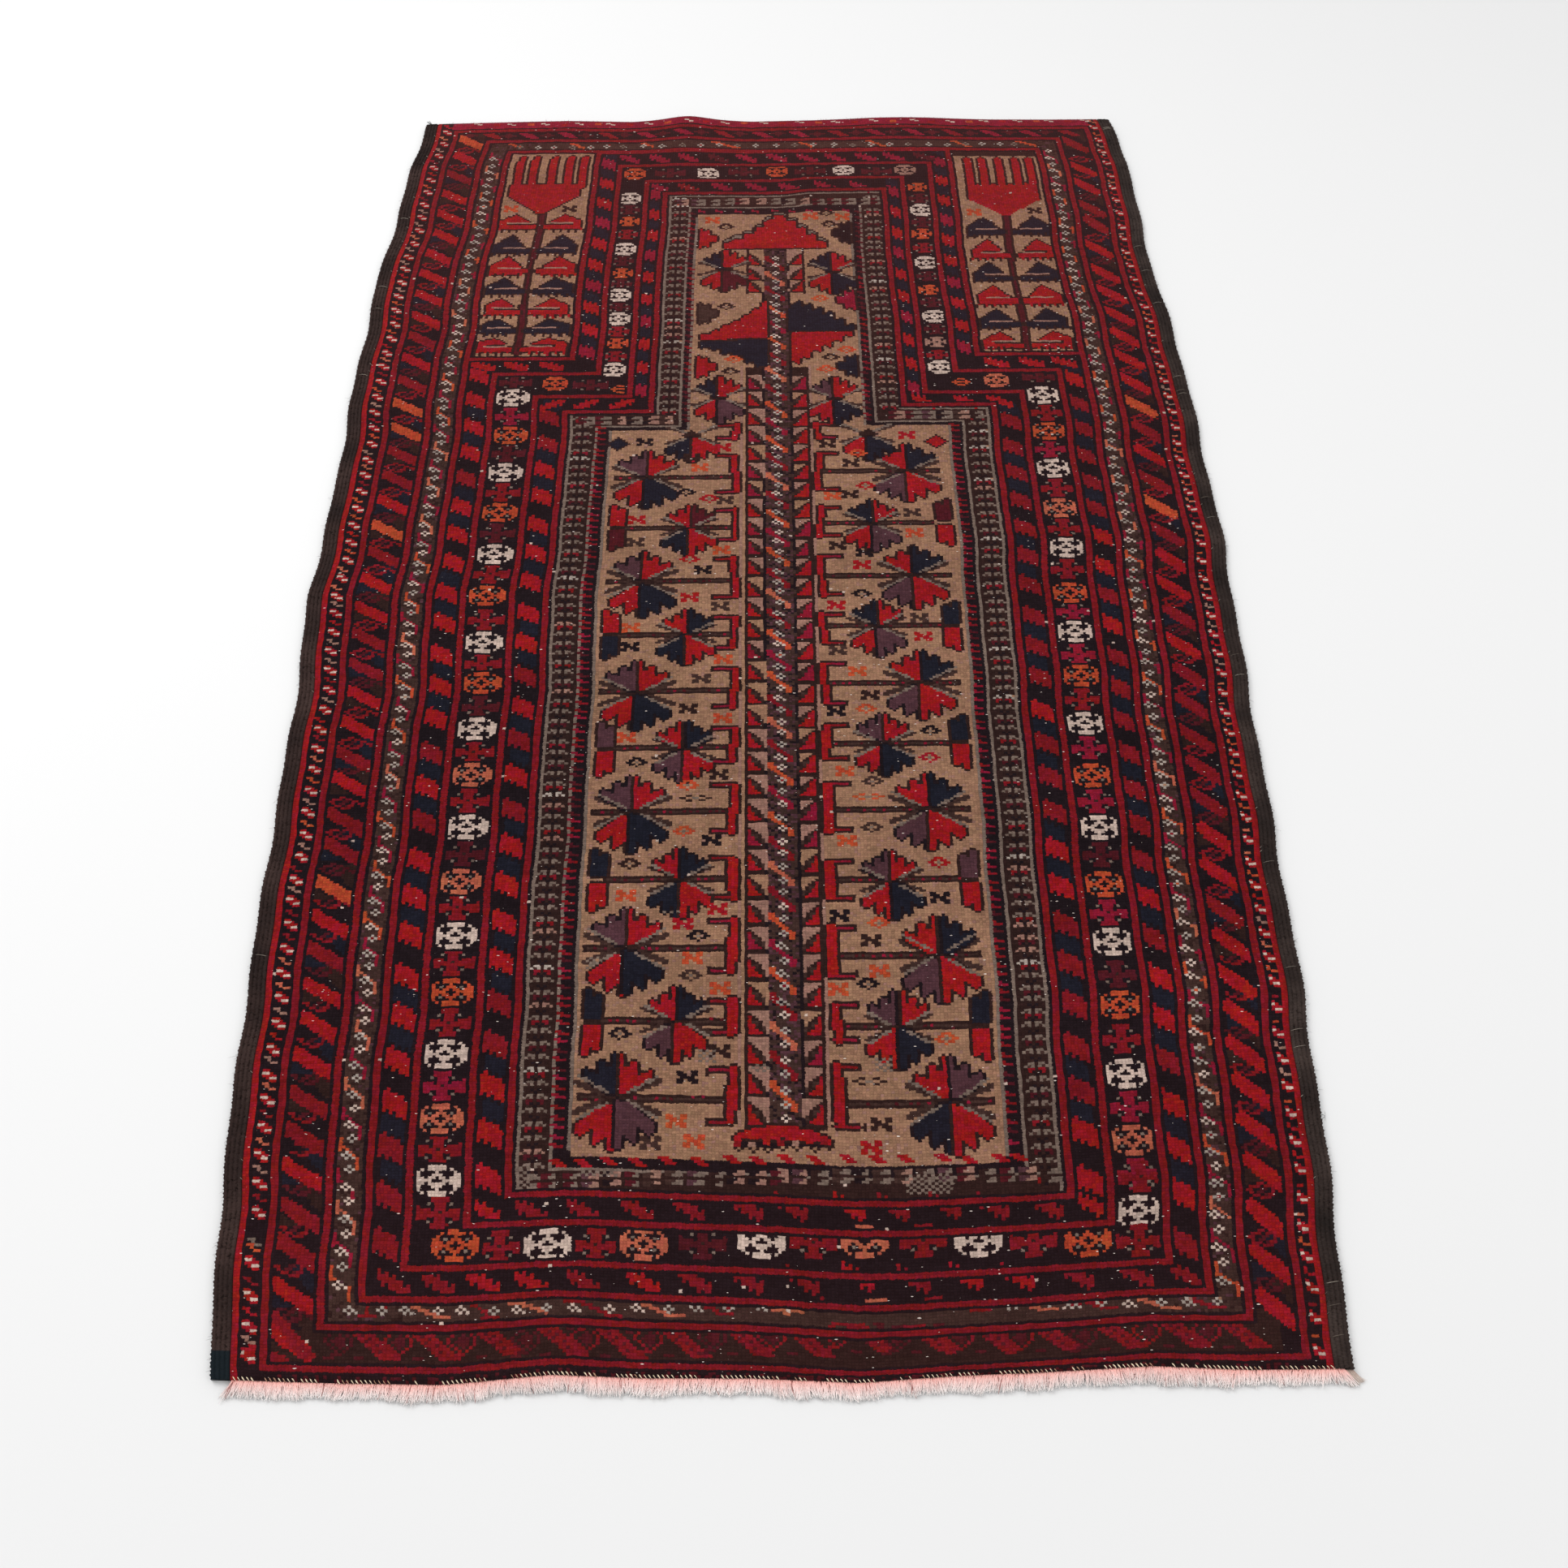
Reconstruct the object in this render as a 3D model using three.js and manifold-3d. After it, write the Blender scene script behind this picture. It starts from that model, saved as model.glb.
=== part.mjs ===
import * as THREE from 'three';
import Module from 'manifold-3d';

// A knotted-pile prayer rug of the Baluch kind, laid out flat. X runs across it and Y along it,
// from the fringed end to the far end. Every piece lies with its underside on the plane z = 0.

const wasm = await Module();
wasm.setup();

// Driving dimensions, in millimetres
const rugLength = 1484;
const pileHeight = 7;
const pileRimHeight = 5;
const pileRimInset = 6;
const selvedgeWidth = 15;
const selvedgeCords = 4;
const cordCrest = 5;
const cordValley = 3.7;
const cordShoulder = 0.27;
const outerCordSide = 2.4;
const gap = 0.3;
const columnsAcross = 26;
const rowsAlong = 38;

// Distance of the two outer edges from the lengthwise centre line, at stations along the rug
const sideStations = [
  { along: 0, left: 424, right: 429 },
  { along: 50, left: 431, right: 433 },
  { along: 150, left: 442, right: 441 },
  { along: 300, left: 450, right: 449 },
  { along: 450, left: 454, right: 452 },
  { along: 600, left: 455, right: 455 },
  { along: 740, left: 462, right: 459 },
  { along: 800, left: 459, right: 461 },
  { along: 900, left: 455, right: 459 },
  { along: 1000, left: 457, right: 458 },
  { along: 1100, left: 454, right: 454 },
  { along: 1200, left: 452, right: 444 },
  { along: 1300, left: 442, right: 441 },
  { along: 1400, left: 436, right: 440 },
  { along: 1484, left: 426, right: 426 },
];

// How far each end wanders along the rug, at stations across it
const endStations = [
  { across: -430, near: 3, far: -3 },
  { across: -330, near: -1, far: 0 },
  { across: -250, near: -3, far: 2 },
  { across: -170, near: 3, far: -1 },
  { across: -100, near: 0, far: 3 },
  { across: -20, near: -1, far: -2 },
  { across: 60, near: -5, far: 0 },
  { across: 130, near: -1, far: 2 },
  { across: 200, near: 1, far: 2 },
  { across: 280, near: 4, far: -1 },
  { across: 350, near: 1, far: -2 },
  { across: 430, near: 1, far: -2 },
];
const endWanderReach = 120;

// The woven edge swells and draws in a little all along
const edgeWaves = [
  { size: 1.1, wavelength: 163, phase: 0.4 },
  { size: 0.8, wavelength: 82, phase: 2.1 },
];

// The pile is a little higher in some places than in others
const pileWavesAlong = [
  { size: 0.25, wavelength: 260, phase: 0.9 },
  { size: 0.2, wavelength: 610, phase: 2.6 },
];
const pileWavesAcross = [{ size: 0.3, wavelength: 446, phase: 1.3 }];

// Low ripples that lift the rug's ends off the ground
const ripples = [
  { across: -100, atFarEnd: true, lift: 5, width: 34 },
  { across: 160, atFarEnd: true, lift: 2, width: 60 },
  { across: -170, atFarEnd: false, lift: 2, width: 45 },
  { across: 270, atFarEnd: false, lift: 2.5, width: 50 },
];
const rippleReach = 55;
const rippleMargin = 0.15;

// Short cut fringe of the near end, with the narrow strip that carries it
const stripWidth = 4;
const stripHeight = 3.2;
const stripRimHeight = 2.4;
const lockCount = 170;
const lockLength = 14;
const lockWidth = 3.2;
const lockHeight = 2;
const lockRootDepth = 1.5;
const lockTipWidthShare = 0.4;
const lockTipHeightShare = 0.35;
const lockLengthWaves = [{ size: 2, wavelength: 47, phase: 0.5 }];
const lockLeanWaves = [
  { size: 0.16, wavelength: 232, phase: 0 },
  { size: 0.07, wavelength: 88, phase: 1 },
];

// Loose yarn end at the far left corner
const yarnEndLength = 13;
const yarnEndWidth = 2;
const yarnEndRise = 2;
const yarnEndHeight = 1.2;
const yarnEndHeading = -0.7;
const yarnEndRootDepth = 3;

function waveAt(waves, position, turn = 0) {
  const heights = waves.map(({ size, wavelength, phase }) => {
    return size * Math.sin((2 * Math.PI * position) / wavelength + phase + turn);
  });
  return heights.reduce((sum, height) => sum + height, 0);
}

// Straight-line value of one column of a table, at a position between its stations
function valueAt(stations, place, column, position) {
  const last = stations.length - 1;
  let index = 0;
  while (index < last - 1 && position > stations[index + 1][place]) index += 1;
  const before = stations[index];
  const after = stations[index + 1];
  const share = (position - before[place]) / (after[place] - before[place]);
  return THREE.MathUtils.lerp(before[column], after[column], THREE.MathUtils.clamp(share, 0, 1));
}

// Side is -1 for the left edge and 1 for the right one
function outerEdge(along, side) {
  const column = side < 0 ? 'left' : 'right';
  return side * (valueAt(sideStations, 'along', column, along) + waveAt(edgeWaves, along, side));
}

function innerEdge(along, side) {
  return outerEdge(along, side) - side * (selvedgeWidth + gap);
}

// The lines across the weave follow the wander of the nearer end, less and less away from it
function wovenY(across, along) {
  const near = valueAt(endStations, 'across', 'near', across);
  const far = valueAt(endStations, 'across', 'far', across);
  const nearFade = Math.exp(-along / endWanderReach);
  const farFade = Math.exp(-(rugLength - along) / endWanderReach);
  return along + near * nearFade + far * farFade;
}

function rippleLift(across, along) {
  const lifts = ripples.map((ripple) => {
    const distance = ripple.atFarEnd ? rugLength - along : along;
    const aside = (across - ripple.across) / ripple.width;
    return ripple.lift * Math.exp(-(aside ** 2) - (distance / rippleReach) ** 2);
  });
  const lift = lifts.reduce((sum, height) => sum + height, 0);
  return lift < rippleMargin ? 0 : lift;
}

// Stations from one rim to the other, with one more just inside each rim
function rimmedStations(length, inset, count) {
  const step = (length - 2 * inset) / (count - 2);
  const inner = Array.from({ length: count - 1 }, (_, index) => inset + step * index);
  return [0, ...inner, length];
}

function indexedGeometry(positions, indices) {
  const geometry = new THREE.BufferGeometry();
  geometry.setAttribute('position', new THREE.Float32BufferAttribute(positions, 3));
  geometry.setIndex(indices);
  return geometry;
}

// A closed slab over a grid of points, each with a top and an underside
function slabGeometry(rows) {
  const columns = rows[0].length;
  const positions = rows.flat().flatMap(({ x, y, top, bottom }) => [x, y, top, x, y, bottom]);
  const above = (row, column) => 2 * (row * columns + column);
  const below = (row, column) => above(row, column) + 1;
  const indices = [];
  const addQuad = (a, b, c, d) => indices.push(a, b, c, a, c, d);
  const addWall = (from, to) => addQuad(above(...to), above(...from), below(...from), below(...to));
  const lastRow = rows.length - 1;
  const lastColumn = columns - 1;
  for (let row = 0; row < lastRow; row += 1) {
    for (let column = 0; column < lastColumn; column += 1) {
      const corners = [[row, column], [row, column + 1], [row + 1, column + 1], [row + 1, column]];
      addQuad(...corners.map((corner) => above(...corner)));
      addQuad(...corners.reverse().map((corner) => below(...corner)));
    }
    addWall([row + 1, 0], [row, 0]);
    addWall([row, lastColumn], [row + 1, lastColumn]);
  }
  for (let column = 0; column < lastColumn; column += 1) {
    addWall([0, column], [0, column + 1]);
    addWall([lastRow, column + 1], [lastRow, column]);
  }
  return indexedGeometry(positions, indices);
}

// A tapered three-sided lock of yarn: two corners of each section lie below, one stands above
function lockGeometry({ root, heading, length, width, height, rise = 0 }) {
  const ahead = new THREE.Vector3(Math.sin(heading), Math.cos(heading), 0);
  const beside = new THREE.Vector3(ahead.y, -ahead.x, 0);
  const sections = [
    { reach: 0, halfWidth: width / 2, height },
    { reach: 1, halfWidth: (width / 2) * lockTipWidthShare, height: height * lockTipHeightShare },
  ];
  const positions = sections.flatMap((section) => {
    const centre = root.clone().addScaledVector(ahead, section.reach * length);
    centre.z += section.reach * rise;
    const left = centre.clone().addScaledVector(beside, -section.halfWidth);
    const right = centre.clone().addScaledVector(beside, section.halfWidth);
    const crest = centre.clone().setZ(centre.z + section.height);
    return [...left, ...right, ...crest];
  });
  const indices = [0, 1, 2, 3, 5, 4];
  for (const [a, b] of [[0, 1], [1, 2], [2, 0]]) {
    indices.push(a, a + 3, b + 3, a, b + 3, b);
  }
  return indexedGeometry(positions, indices);
}

function toSolid(geometry) {
  const vertProperties = new Float32Array(geometry.attributes.position.array);
  const triVerts = new Uint32Array(geometry.index.array);
  return new wasm.Manifold(new wasm.Mesh({ numProp: 3, vertProperties, triVerts }));
}

function joinedGeometry(geometries) {
  const solid = geometries.map(toSolid).reduce((whole, piece) => whole.add(piece));
  const mesh = solid.getMesh();
  return indexedGeometry(mesh.vertProperties, Array.from(mesh.triVerts));
}

const alongStations = rimmedStations(rugLength, pileRimInset, rowsAlong);
const acrossStations = rimmedStations(1, pileRimInset / (2 * sideStations[0].left), columnsAcross);

function pileTop(across, along) {
  return pileHeight + waveAt(pileWavesAlong, along) + waveAt(pileWavesAcross, across);
}

function bodyGeometry() {
  const lastRow = alongStations.length - 1;
  const lastColumn = acrossStations.length - 1;
  const rows = alongStations.map((along, row) => {
    const left = innerEdge(along, -1);
    const right = innerEdge(along, 1);
    return acrossStations.map((share, column) => {
      const across = THREE.MathUtils.lerp(left, right, share);
      const atRim = row === 0 || row === lastRow || column === 0 || column === lastColumn;
      const height = atRim ? pileRimHeight : pileTop(across, along);
      const bottom = rippleLift(across, along);
      return { x: across, y: wovenY(across, along), top: bottom + height, bottom };
    });
  });
  return slabGeometry(rows);
}

// Section of a selvedge, from its outer side inwards: flat cords lying side by side
function selvedgeSection() {
  const cordWidth = selvedgeWidth / selvedgeCords;
  const cords = Array.from({ length: selvedgeCords }, (_, cord) => cord * cordWidth);
  const cordPoints = cords.flatMap((start) => [
    { inwards: start + cordShoulder * cordWidth, height: cordCrest },
    { inwards: start + (1 - cordShoulder) * cordWidth, height: cordCrest },
    { inwards: start + cordWidth, height: cordValley },
  ]);
  return [{ inwards: 0, height: outerCordSide }, ...cordPoints];
}

function selvedgeGeometry(side) {
  const section = selvedgeSection();
  const leftToRight = side < 0 ? section : section.reverse();
  const rows = alongStations.map((along) => leftToRight.map(({ inwards, height }) => {
    const across = outerEdge(along, side) - side * inwards;
    return { x: across, y: wovenY(across, along), top: height, bottom: 0 };
  }));
  return slabGeometry(rows);
}

function yarnEndGeometry() {
  const across = outerEdge(rugLength, -1) + selvedgeWidth / 2;
  const along = wovenY(across, rugLength) - yarnEndRootDepth;
  return lockGeometry({
    root: new THREE.Vector3(across, along, yarnEndHeight),
    heading: yarnEndHeading,
    length: yarnEndLength,
    width: yarnEndWidth,
    height: yarnEndWidth,
    rise: yarnEndRise,
  });
}

// The strip follows the near end a gap off it, with a raised line of twining down its middle
function fringeStripGeometry() {
  const section = [
    { outwards: stripWidth, height: stripRimHeight },
    { outwards: stripWidth / 2, height: stripHeight },
    { outwards: 0, height: stripRimHeight },
  ];
  const rows = section.map(({ outwards, height }) => acrossStations.map((share) => {
    const across = THREE.MathUtils.lerp(innerEdge(0, -1), innerEdge(0, 1), share);
    return { x: across, y: wovenY(across, 0) - gap - outwards, top: height, bottom: 0 };
  }));
  return slabGeometry(rows);
}

function fringeLocks() {
  const left = innerEdge(0, -1) + lockWidth;
  const right = innerEdge(0, 1) - lockWidth;
  return Array.from({ length: lockCount }, (_, index) => {
    const across = THREE.MathUtils.lerp(left, right, index / (lockCount - 1));
    const along = wovenY(across, 0) - gap - stripWidth + lockRootDepth;
    return lockGeometry({
      root: new THREE.Vector3(across, along, 0),
      heading: Math.PI + waveAt(lockLeanWaves, across),
      length: lockLength + waveAt(lockLengthWaves, across),
      width: lockWidth,
      height: lockHeight,
    });
  });
}

function namedMesh(name, geometries, color, roughness) {
  const faceted = joinedGeometry(geometries).toNonIndexed();
  faceted.computeVertexNormals();
  const mesh = new THREE.Mesh(faceted, new THREE.MeshStandardMaterial({ color, roughness, metalness: 0 }));
  mesh.name = name;
  return mesh;
}

const rug = new THREE.Group();
rug.add(namedMesh('rug_body', [bodyGeometry()], '#7a1b1f', 0.9));
rug.add(namedMesh('selvedge_left', [selvedgeGeometry(-1), yarnEndGeometry()], '#3a2d24', 0.85));
rug.add(namedMesh('selvedge_right', [selvedgeGeometry(1)], '#3a2d24', 0.85));
rug.add(namedMesh('near_fringe', [fringeStripGeometry(), ...fringeLocks()], '#e8b8a6', 0.9));

// The middle of the rug's outline stands at the origin
const outline = new THREE.Box3().setFromObject(rug);
const middle = outline.getCenter(new THREE.Vector3());
rug.position.set(-middle.x, -middle.y, 0);
rug.updateMatrixWorld(true);

export default rug;
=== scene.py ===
import math

from functools import partial
import bpy
import numpy as np
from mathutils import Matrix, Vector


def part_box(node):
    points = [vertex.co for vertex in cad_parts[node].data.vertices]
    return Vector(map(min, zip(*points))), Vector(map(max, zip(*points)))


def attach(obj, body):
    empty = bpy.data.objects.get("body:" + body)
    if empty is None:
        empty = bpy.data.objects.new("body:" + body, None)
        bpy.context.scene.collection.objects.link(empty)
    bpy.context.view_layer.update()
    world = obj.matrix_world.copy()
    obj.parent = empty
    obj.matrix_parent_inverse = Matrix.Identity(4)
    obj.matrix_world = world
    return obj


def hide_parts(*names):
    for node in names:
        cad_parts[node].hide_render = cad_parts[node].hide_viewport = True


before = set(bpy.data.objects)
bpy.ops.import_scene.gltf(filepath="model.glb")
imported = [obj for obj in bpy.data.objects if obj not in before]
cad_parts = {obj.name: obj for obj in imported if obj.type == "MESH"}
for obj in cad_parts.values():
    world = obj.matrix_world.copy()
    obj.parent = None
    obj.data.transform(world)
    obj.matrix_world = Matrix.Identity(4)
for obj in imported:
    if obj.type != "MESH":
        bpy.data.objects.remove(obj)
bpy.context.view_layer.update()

# Knotted-pile prayer rug of the Baluch kind, laid out flat. Lengths are in millimetres until a
# mesh is made: x runs across the rug, y along it from the fringed end, z up from the ground.
print("rug: frame loaded")

# The shape that the pile shares with the solids
cloth = {
    "length": 1484.0,
    "pileHeight": 7.0,
    "rimHeight": 5.0,
    "rimInset": 6.0,
    "selvedgeWidth": 15.0,
    "gap": 0.3,
    "wanderReach": 120.0,
    "rippleReach": 55.0,
}
sideStations = np.array([
    (0, 424, 429), (50, 431, 433), (150, 442, 441), (300, 450, 449), (450, 454, 452),
    (600, 455, 455), (740, 462, 459), (800, 459, 461), (900, 455, 459), (1000, 457, 458),
    (1100, 454, 454), (1200, 452, 444), (1300, 442, 441), (1400, 436, 440), (1484, 426, 426),
], float)
endStations = np.array([
    (-430, 3, -3), (-330, -1, 0), (-250, -3, 2), (-170, 3, -1), (-100, 0, 3), (-20, -1, -2),
    (60, -5, 0), (130, -1, 2), (200, 1, 2), (280, 4, -1), (350, 1, -2), (430, 1, -2),
], float)
edgeWaves = [(1.1, 163, 0.4), (0.8, 82, 2.1)]
pileWavesAlong = [(0.25, 260, 0.9), (0.2, 610, 2.6)]
pileWavesAcross = [(0.3, 446, 1.3)]
ripples = [(-100, True, 5, 34), (160, True, 2, 60), (-170, False, 2, 45), (270, False, 2.5, 50)]


def waveAt(waves, position, turn=0.0):
    # sum of sines, each with its own height, wavelength and phase
    return sum(size * np.sin(2 * np.pi * position / length + phase + turn)
               for size, length, phase in waves)


def outerEdge(along, side):
    # straight lines between the stations of one side, plus the small waves of the edge
    column = 1 if side < 0 else 2
    width = np.interp(along, sideStations[:, 0], sideStations[:, column])
    return side * (width + waveAt(edgeWaves, along, side))


def innerEdge(along, side):
    # the outer edge, moved in by the selvedge and the gap beside it
    return outerEdge(along, side) - side * (cloth["selvedgeWidth"] + cloth["gap"])


def wovenY(across, along):
    # a line across the weave follows the wander of the nearer end, less and less away from it
    near = np.interp(across, endStations[:, 0], endStations[:, 1])
    far = np.interp(across, endStations[:, 0], endStations[:, 2])
    reach = cloth["wanderReach"]
    return (along + near * np.exp(-along / reach)
            + far * np.exp(-(cloth["length"] - along) / reach))


def rippleLift(across, along):
    # bell-shaped ripples at the two ends, nothing where they get lower than 0.15 mm
    lift = 0.0 * (across + along)
    for centre, atFarEnd, height, width in ripples:
        distance = cloth["length"] - along if atFarEnd else along
        lift = lift + height * np.exp(-((across - centre) / width) ** 2
                                      - (distance / cloth["rippleReach"]) ** 2)
    return np.where(lift < 0.15, 0.0, lift)


def pileTop(across, along):
    # the pile's height, with slow waves along the rug and across it
    return (cloth["pileHeight"] + waveAt(pileWavesAlong, along)
            + waveAt(pileWavesAcross, across))


# The solids were centred on their outline, so the same shift is read off the pile's own box
bodyLow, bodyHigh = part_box("rug_body")
trialAlong = np.linspace(0, cloth["length"], 400)
trialAcross = np.linspace(-415, 415, 400)
trialLeft = innerEdge(trialAlong, -1).min()
trialRight = innerEdge(trialAlong, 1).max()
shiftX = (bodyLow.x + bodyHigh.x) / 2 - (trialLeft + trialRight) / 2000
trialEnds = (wovenY(trialAcross, 0.0).min(), wovenY(trialAcross, cloth["length"]).max())
shiftY = (bodyLow.y + bodyHigh.y) / 2 - sum(trialEnds) / 2000


def inScene(points):
    # from the rug's own millimetres to the frame's metres
    return points / 1000 + np.array((shiftX, shiftY, 0.0))


def linear(hexColour):
    # sRGB hex colour to the linear values that nodes take
    values = [int(hexColour[i:i + 2], 16) / 255 for i in (1, 3, 5)]
    return tuple(v / 12.92 if v <= 0.04045 else ((v + 0.055) / 1.055) ** 2.4
                 for v in values) + (1.0,)


def addNode(material, kind, inputs=(), output=0, **settings):
    # one node with its settings, each input linked to a socket or set to a value, by name in a
    # dictionary or in order in a list; it gives back the output socket that is asked for, or the
    # node itself where it has no output
    tree = material.node_tree
    node = tree.nodes.new("ShaderNode" + kind)
    for name, value in settings.items():
        setattr(node, name, value)
    for key, value in inputs.items() if isinstance(inputs, dict) else enumerate(inputs):
        if isinstance(value, bpy.types.NodeSocket):
            tree.links.new(value, node.inputs[key])
        else:
            node.inputs[key].default_value = value
    return node.outputs[output] if len(node.outputs) else node


def newMaterial(name):
    # an empty material, and addNode with that material filled in
    material = bpy.data.materials.new(name)
    material.use_nodes = True
    material.node_tree.nodes.clear()
    return material, partial(addNode, material)


def meshPiece(name, points, faces, material, smooth=True):
    # faces is an array of quads or triangles; the points are in the rug's millimetres
    faces = np.asarray(faces)
    mesh = bpy.data.meshes.new(name)
    mesh.vertices.add(len(points))
    mesh.vertices.foreach_set("co", inScene(points).astype(np.float32).ravel())
    mesh.loops.add(faces.size)
    mesh.loops.foreach_set("vertex_index", faces.astype(np.int32).ravel())
    mesh.polygons.add(len(faces))
    starts = np.arange(len(faces), dtype=np.int32) * faces.shape[1]
    mesh.polygons.foreach_set("loop_start", starts)
    mesh.polygons.foreach_set("use_smooth", np.full(len(faces), smooth))
    mesh.update(calc_edges=True)
    mesh.validate()
    for each in material:
        mesh.materials.append(each)
    piece = bpy.data.objects.new(name, mesh)
    bpy.context.scene.collection.objects.link(piece)
    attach(piece, "root")
    return piece


def addMap(piece, name, places):
    # a UV map from one place for each corner of each face
    layer = piece.data.uv_layers.new(name=name)
    layer.data.foreach_set("uv", places.astype(np.float32).ravel())


# The knot chart: each knot holds the number of its ink
chartSize = {
    "columns": 294,
    "rows": 646,
    "width": 880.0,
    "length": cloth["length"],
}
chartHalf = chartSize["width"] / 2
knotWidth = chartSize["width"] / chartSize["columns"]
knotLength = chartSize["length"] / chartSize["rows"]
woolColours = {
    "navyBlack": "#191115", "darkBrown": "#291917", "camel": "#8b6751", "red": "#8a1218",
    "maroon": "#46131a", "aubergine": "#482c32", "orange": "#a23f25", "salmon": "#a3543f",
    "ivory": "#b59f93", "greyBeige": "#6b5b52", "navy": "#171822", "cherry": "#7a1328",
    "midBrown": "#382622", "brickRed": "#70121a", "pinkBeige": "#886458", "ash": "#978a81",
}
(navyBlack, darkBrown, camel, red, maroon, aubergine, orange, salmon,
 ivory, greyBeige, navy, cherry, midBrown, brickRed, pinkBeige, ash) = range(len(woolColours))
chartX = (np.arange(chartSize["columns"]) + 0.5) * knotWidth - chartHalf
chartY = (np.arange(chartSize["rows"]) + 0.5) * knotLength
knots = np.zeros((chartSize["rows"], chartSize["columns"]), int)
dice = np.random.default_rng(41)

# The rows of knots sag a little between the two sides, and rise at the head of the field
sagStations = np.array([(-420, 0), (-150, 0), (0, 6), (60, 9), (100, 10), (150, 9), (200, 7.5),
                        (300, 4), (400, 1)], float)
sagFade = np.array([(0, 0), (10, 0.5), (60, 1), (180, 1), (400, 0)], float)


def rowDrift(across, along):
    # how far a row of knots lies above its place on an even lattice
    sag = (np.interp(across, sagStations[:, 0], sagStations[:, 1])
           * np.interp(along, sagFade[:, 0], sagFade[:, 1]))
    step = np.clip((across - 10) / 50, 0, 1)
    rise = 5 * step * step * (3 - 2 * step) * np.exp(-((along - 1330) / 60) ** 4)
    return rise - sag


def onRug(x, y):
    # distance from the centre line, for a column that keeps its place between the edges
    return x * abs(innerEdge(y, -1 if x < 0 else 1)) / chartHalf


def chartPlace(x, y):
    # where a place measured on the laid rug falls on the even chart
    across = x * chartHalf / abs(innerEdge(y, -1 if x < 0 else 1))
    return across, 2 * y - wovenY(x, y) - rowDrift(x, y)


def windowAt(x, y, halfWidth, halfLength, onChart=False):
    # the knots round a place, and how far each lies from it, counted in whole knots
    across, along = (x, y) if onChart else chartPlace(x, y)
    column = int(round((across + chartHalf) / knotWidth - 0.5))
    row = int(round(along / knotLength - 0.5))
    columns = np.arange(max(0, column - int(halfWidth / knotWidth) - 2),
                        min(chartSize["columns"], column + int(halfWidth / knotWidth) + 3))
    rows = np.arange(max(0, row - int(halfLength / knotLength) - 2),
                     min(chartSize["rows"], row + int(halfLength / knotLength) + 3))
    if len(rows) == 0 or len(columns) == 0:
        return None
    part = knots[rows[0]:rows[-1] + 1, columns[0]:columns[-1] + 1]
    return part, (columns - column)[None, :] * knotWidth, (rows - row)[:, None] * knotLength


def spread(mask):
    # the mask and the knots above, below, left and right of it
    wide = np.pad(mask, 1)
    return wide[1:-1, 1:-1] | wide[:-2, 1:-1] | wide[2:, 1:-1] | wide[1:-1, :-2] | wide[1:-1, 2:]


def knotShape(x, y, halfWidth, halfLength, rule, ink, edge=None, onChart=False):
    # fill the knots that the rule takes in, with one knot of another colour round them
    found = windowAt(x, y, halfWidth + 3, halfLength + 3, onChart)
    if found is None:
        return
    part, dx, dy = found
    mask = rule(dx, dy) & (dx == dx) & (dy == dy)
    if edge is not None:
        part[spread(mask)] = edge
    part[mask] = ink


def knotLine(x0, y0, x1, y1, width, ink, edge=None, bent=False):
    # knots whose distance from a stretch of line is less than half the width
    if bent:
        (x0, y0), (x1, y1) = chartPlace(x0, y0), chartPlace(x1, y1)
    dxLine, dyLine = x1 - x0, y1 - y0
    length2 = dxLine * dxLine + dyLine * dyLine

    def rule(dx, dy):
        px, py = dx + dxLine / 2, dy + dyLine / 2
        share = np.clip((px * dxLine + py * dyLine) / max(length2, 1e-6), 0, 1)
        return (px - share * dxLine) ** 2 + (py - share * dyLine) ** 2 <= (width / 2) ** 2

    knotShape((x0 + x1) / 2, (y0 + y1) / 2, abs(dxLine) / 2 + width, abs(dyLine) / 2 + width,
              rule, ink, edge, bent)


def knotPolygon(points, ink, edge=None, bent=False):
    # knots inside a closed outline given by its corners; bent puts each corner on the chart
    corners = np.array([chartPlace(x, y) for x, y in points] if bent else points, float)
    middle = (corners.min(0) + corners.max(0)) / 2
    half = (corners.max(0) - corners.min(0)) / 2
    local = corners - middle

    def rule(dx, dy):
        inside = np.zeros(np.broadcast(dx, dy).shape, bool)
        for (ax, ay), (bx, by) in zip(local, np.roll(local, -1, axis=0)):
            if ay != by:
                crossing = ax + (dy - ay) * (bx - ax) / (by - ay)
                inside ^= ((ay > dy) != (by > dy)) & (dx < crossing)
        return inside

    knotShape(middle[0], middle[1], half[0], half[1], rule, ink, edge, bent)


def knotStamp(x, y, lines, inks):
    # a small repeat given as a chart, its top line first; a dot leaves the ground as it is
    found = windowAt(x, y, len(lines[0]) * knotWidth, len(lines) * knotLength)
    if found is None:
        return
    part, dx, dy = found
    columns = np.round(dx[0] / knotWidth).astype(int) + len(lines[0]) // 2
    rows = len(lines) // 2 - np.round(dy[:, 0] / knotLength).astype(int)
    for down, line in enumerate(lines):
        for over, mark in enumerate(line):
            if mark != "." and down in rows and over in columns:
                part[np.where(rows == down)[0][0], np.where(columns == over)[0][0]] = inks[mark]


def knotBox(x0, y0, x1, y1, ink, edge=None, bent=False):
    # the knots between two opposite corners
    knotPolygon([(x0, y0), (x1, y0), (x1, y1), (x0, y1)], ink, edge, bent)


def either(share, first, other):
    # the first ink for that share of the draws, the other one for the rest
    return first if dice.random() < share else other


def steps(first, last, count):
    # even steps from the first place to the last one
    return list(np.linspace(first, last, count))


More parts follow.
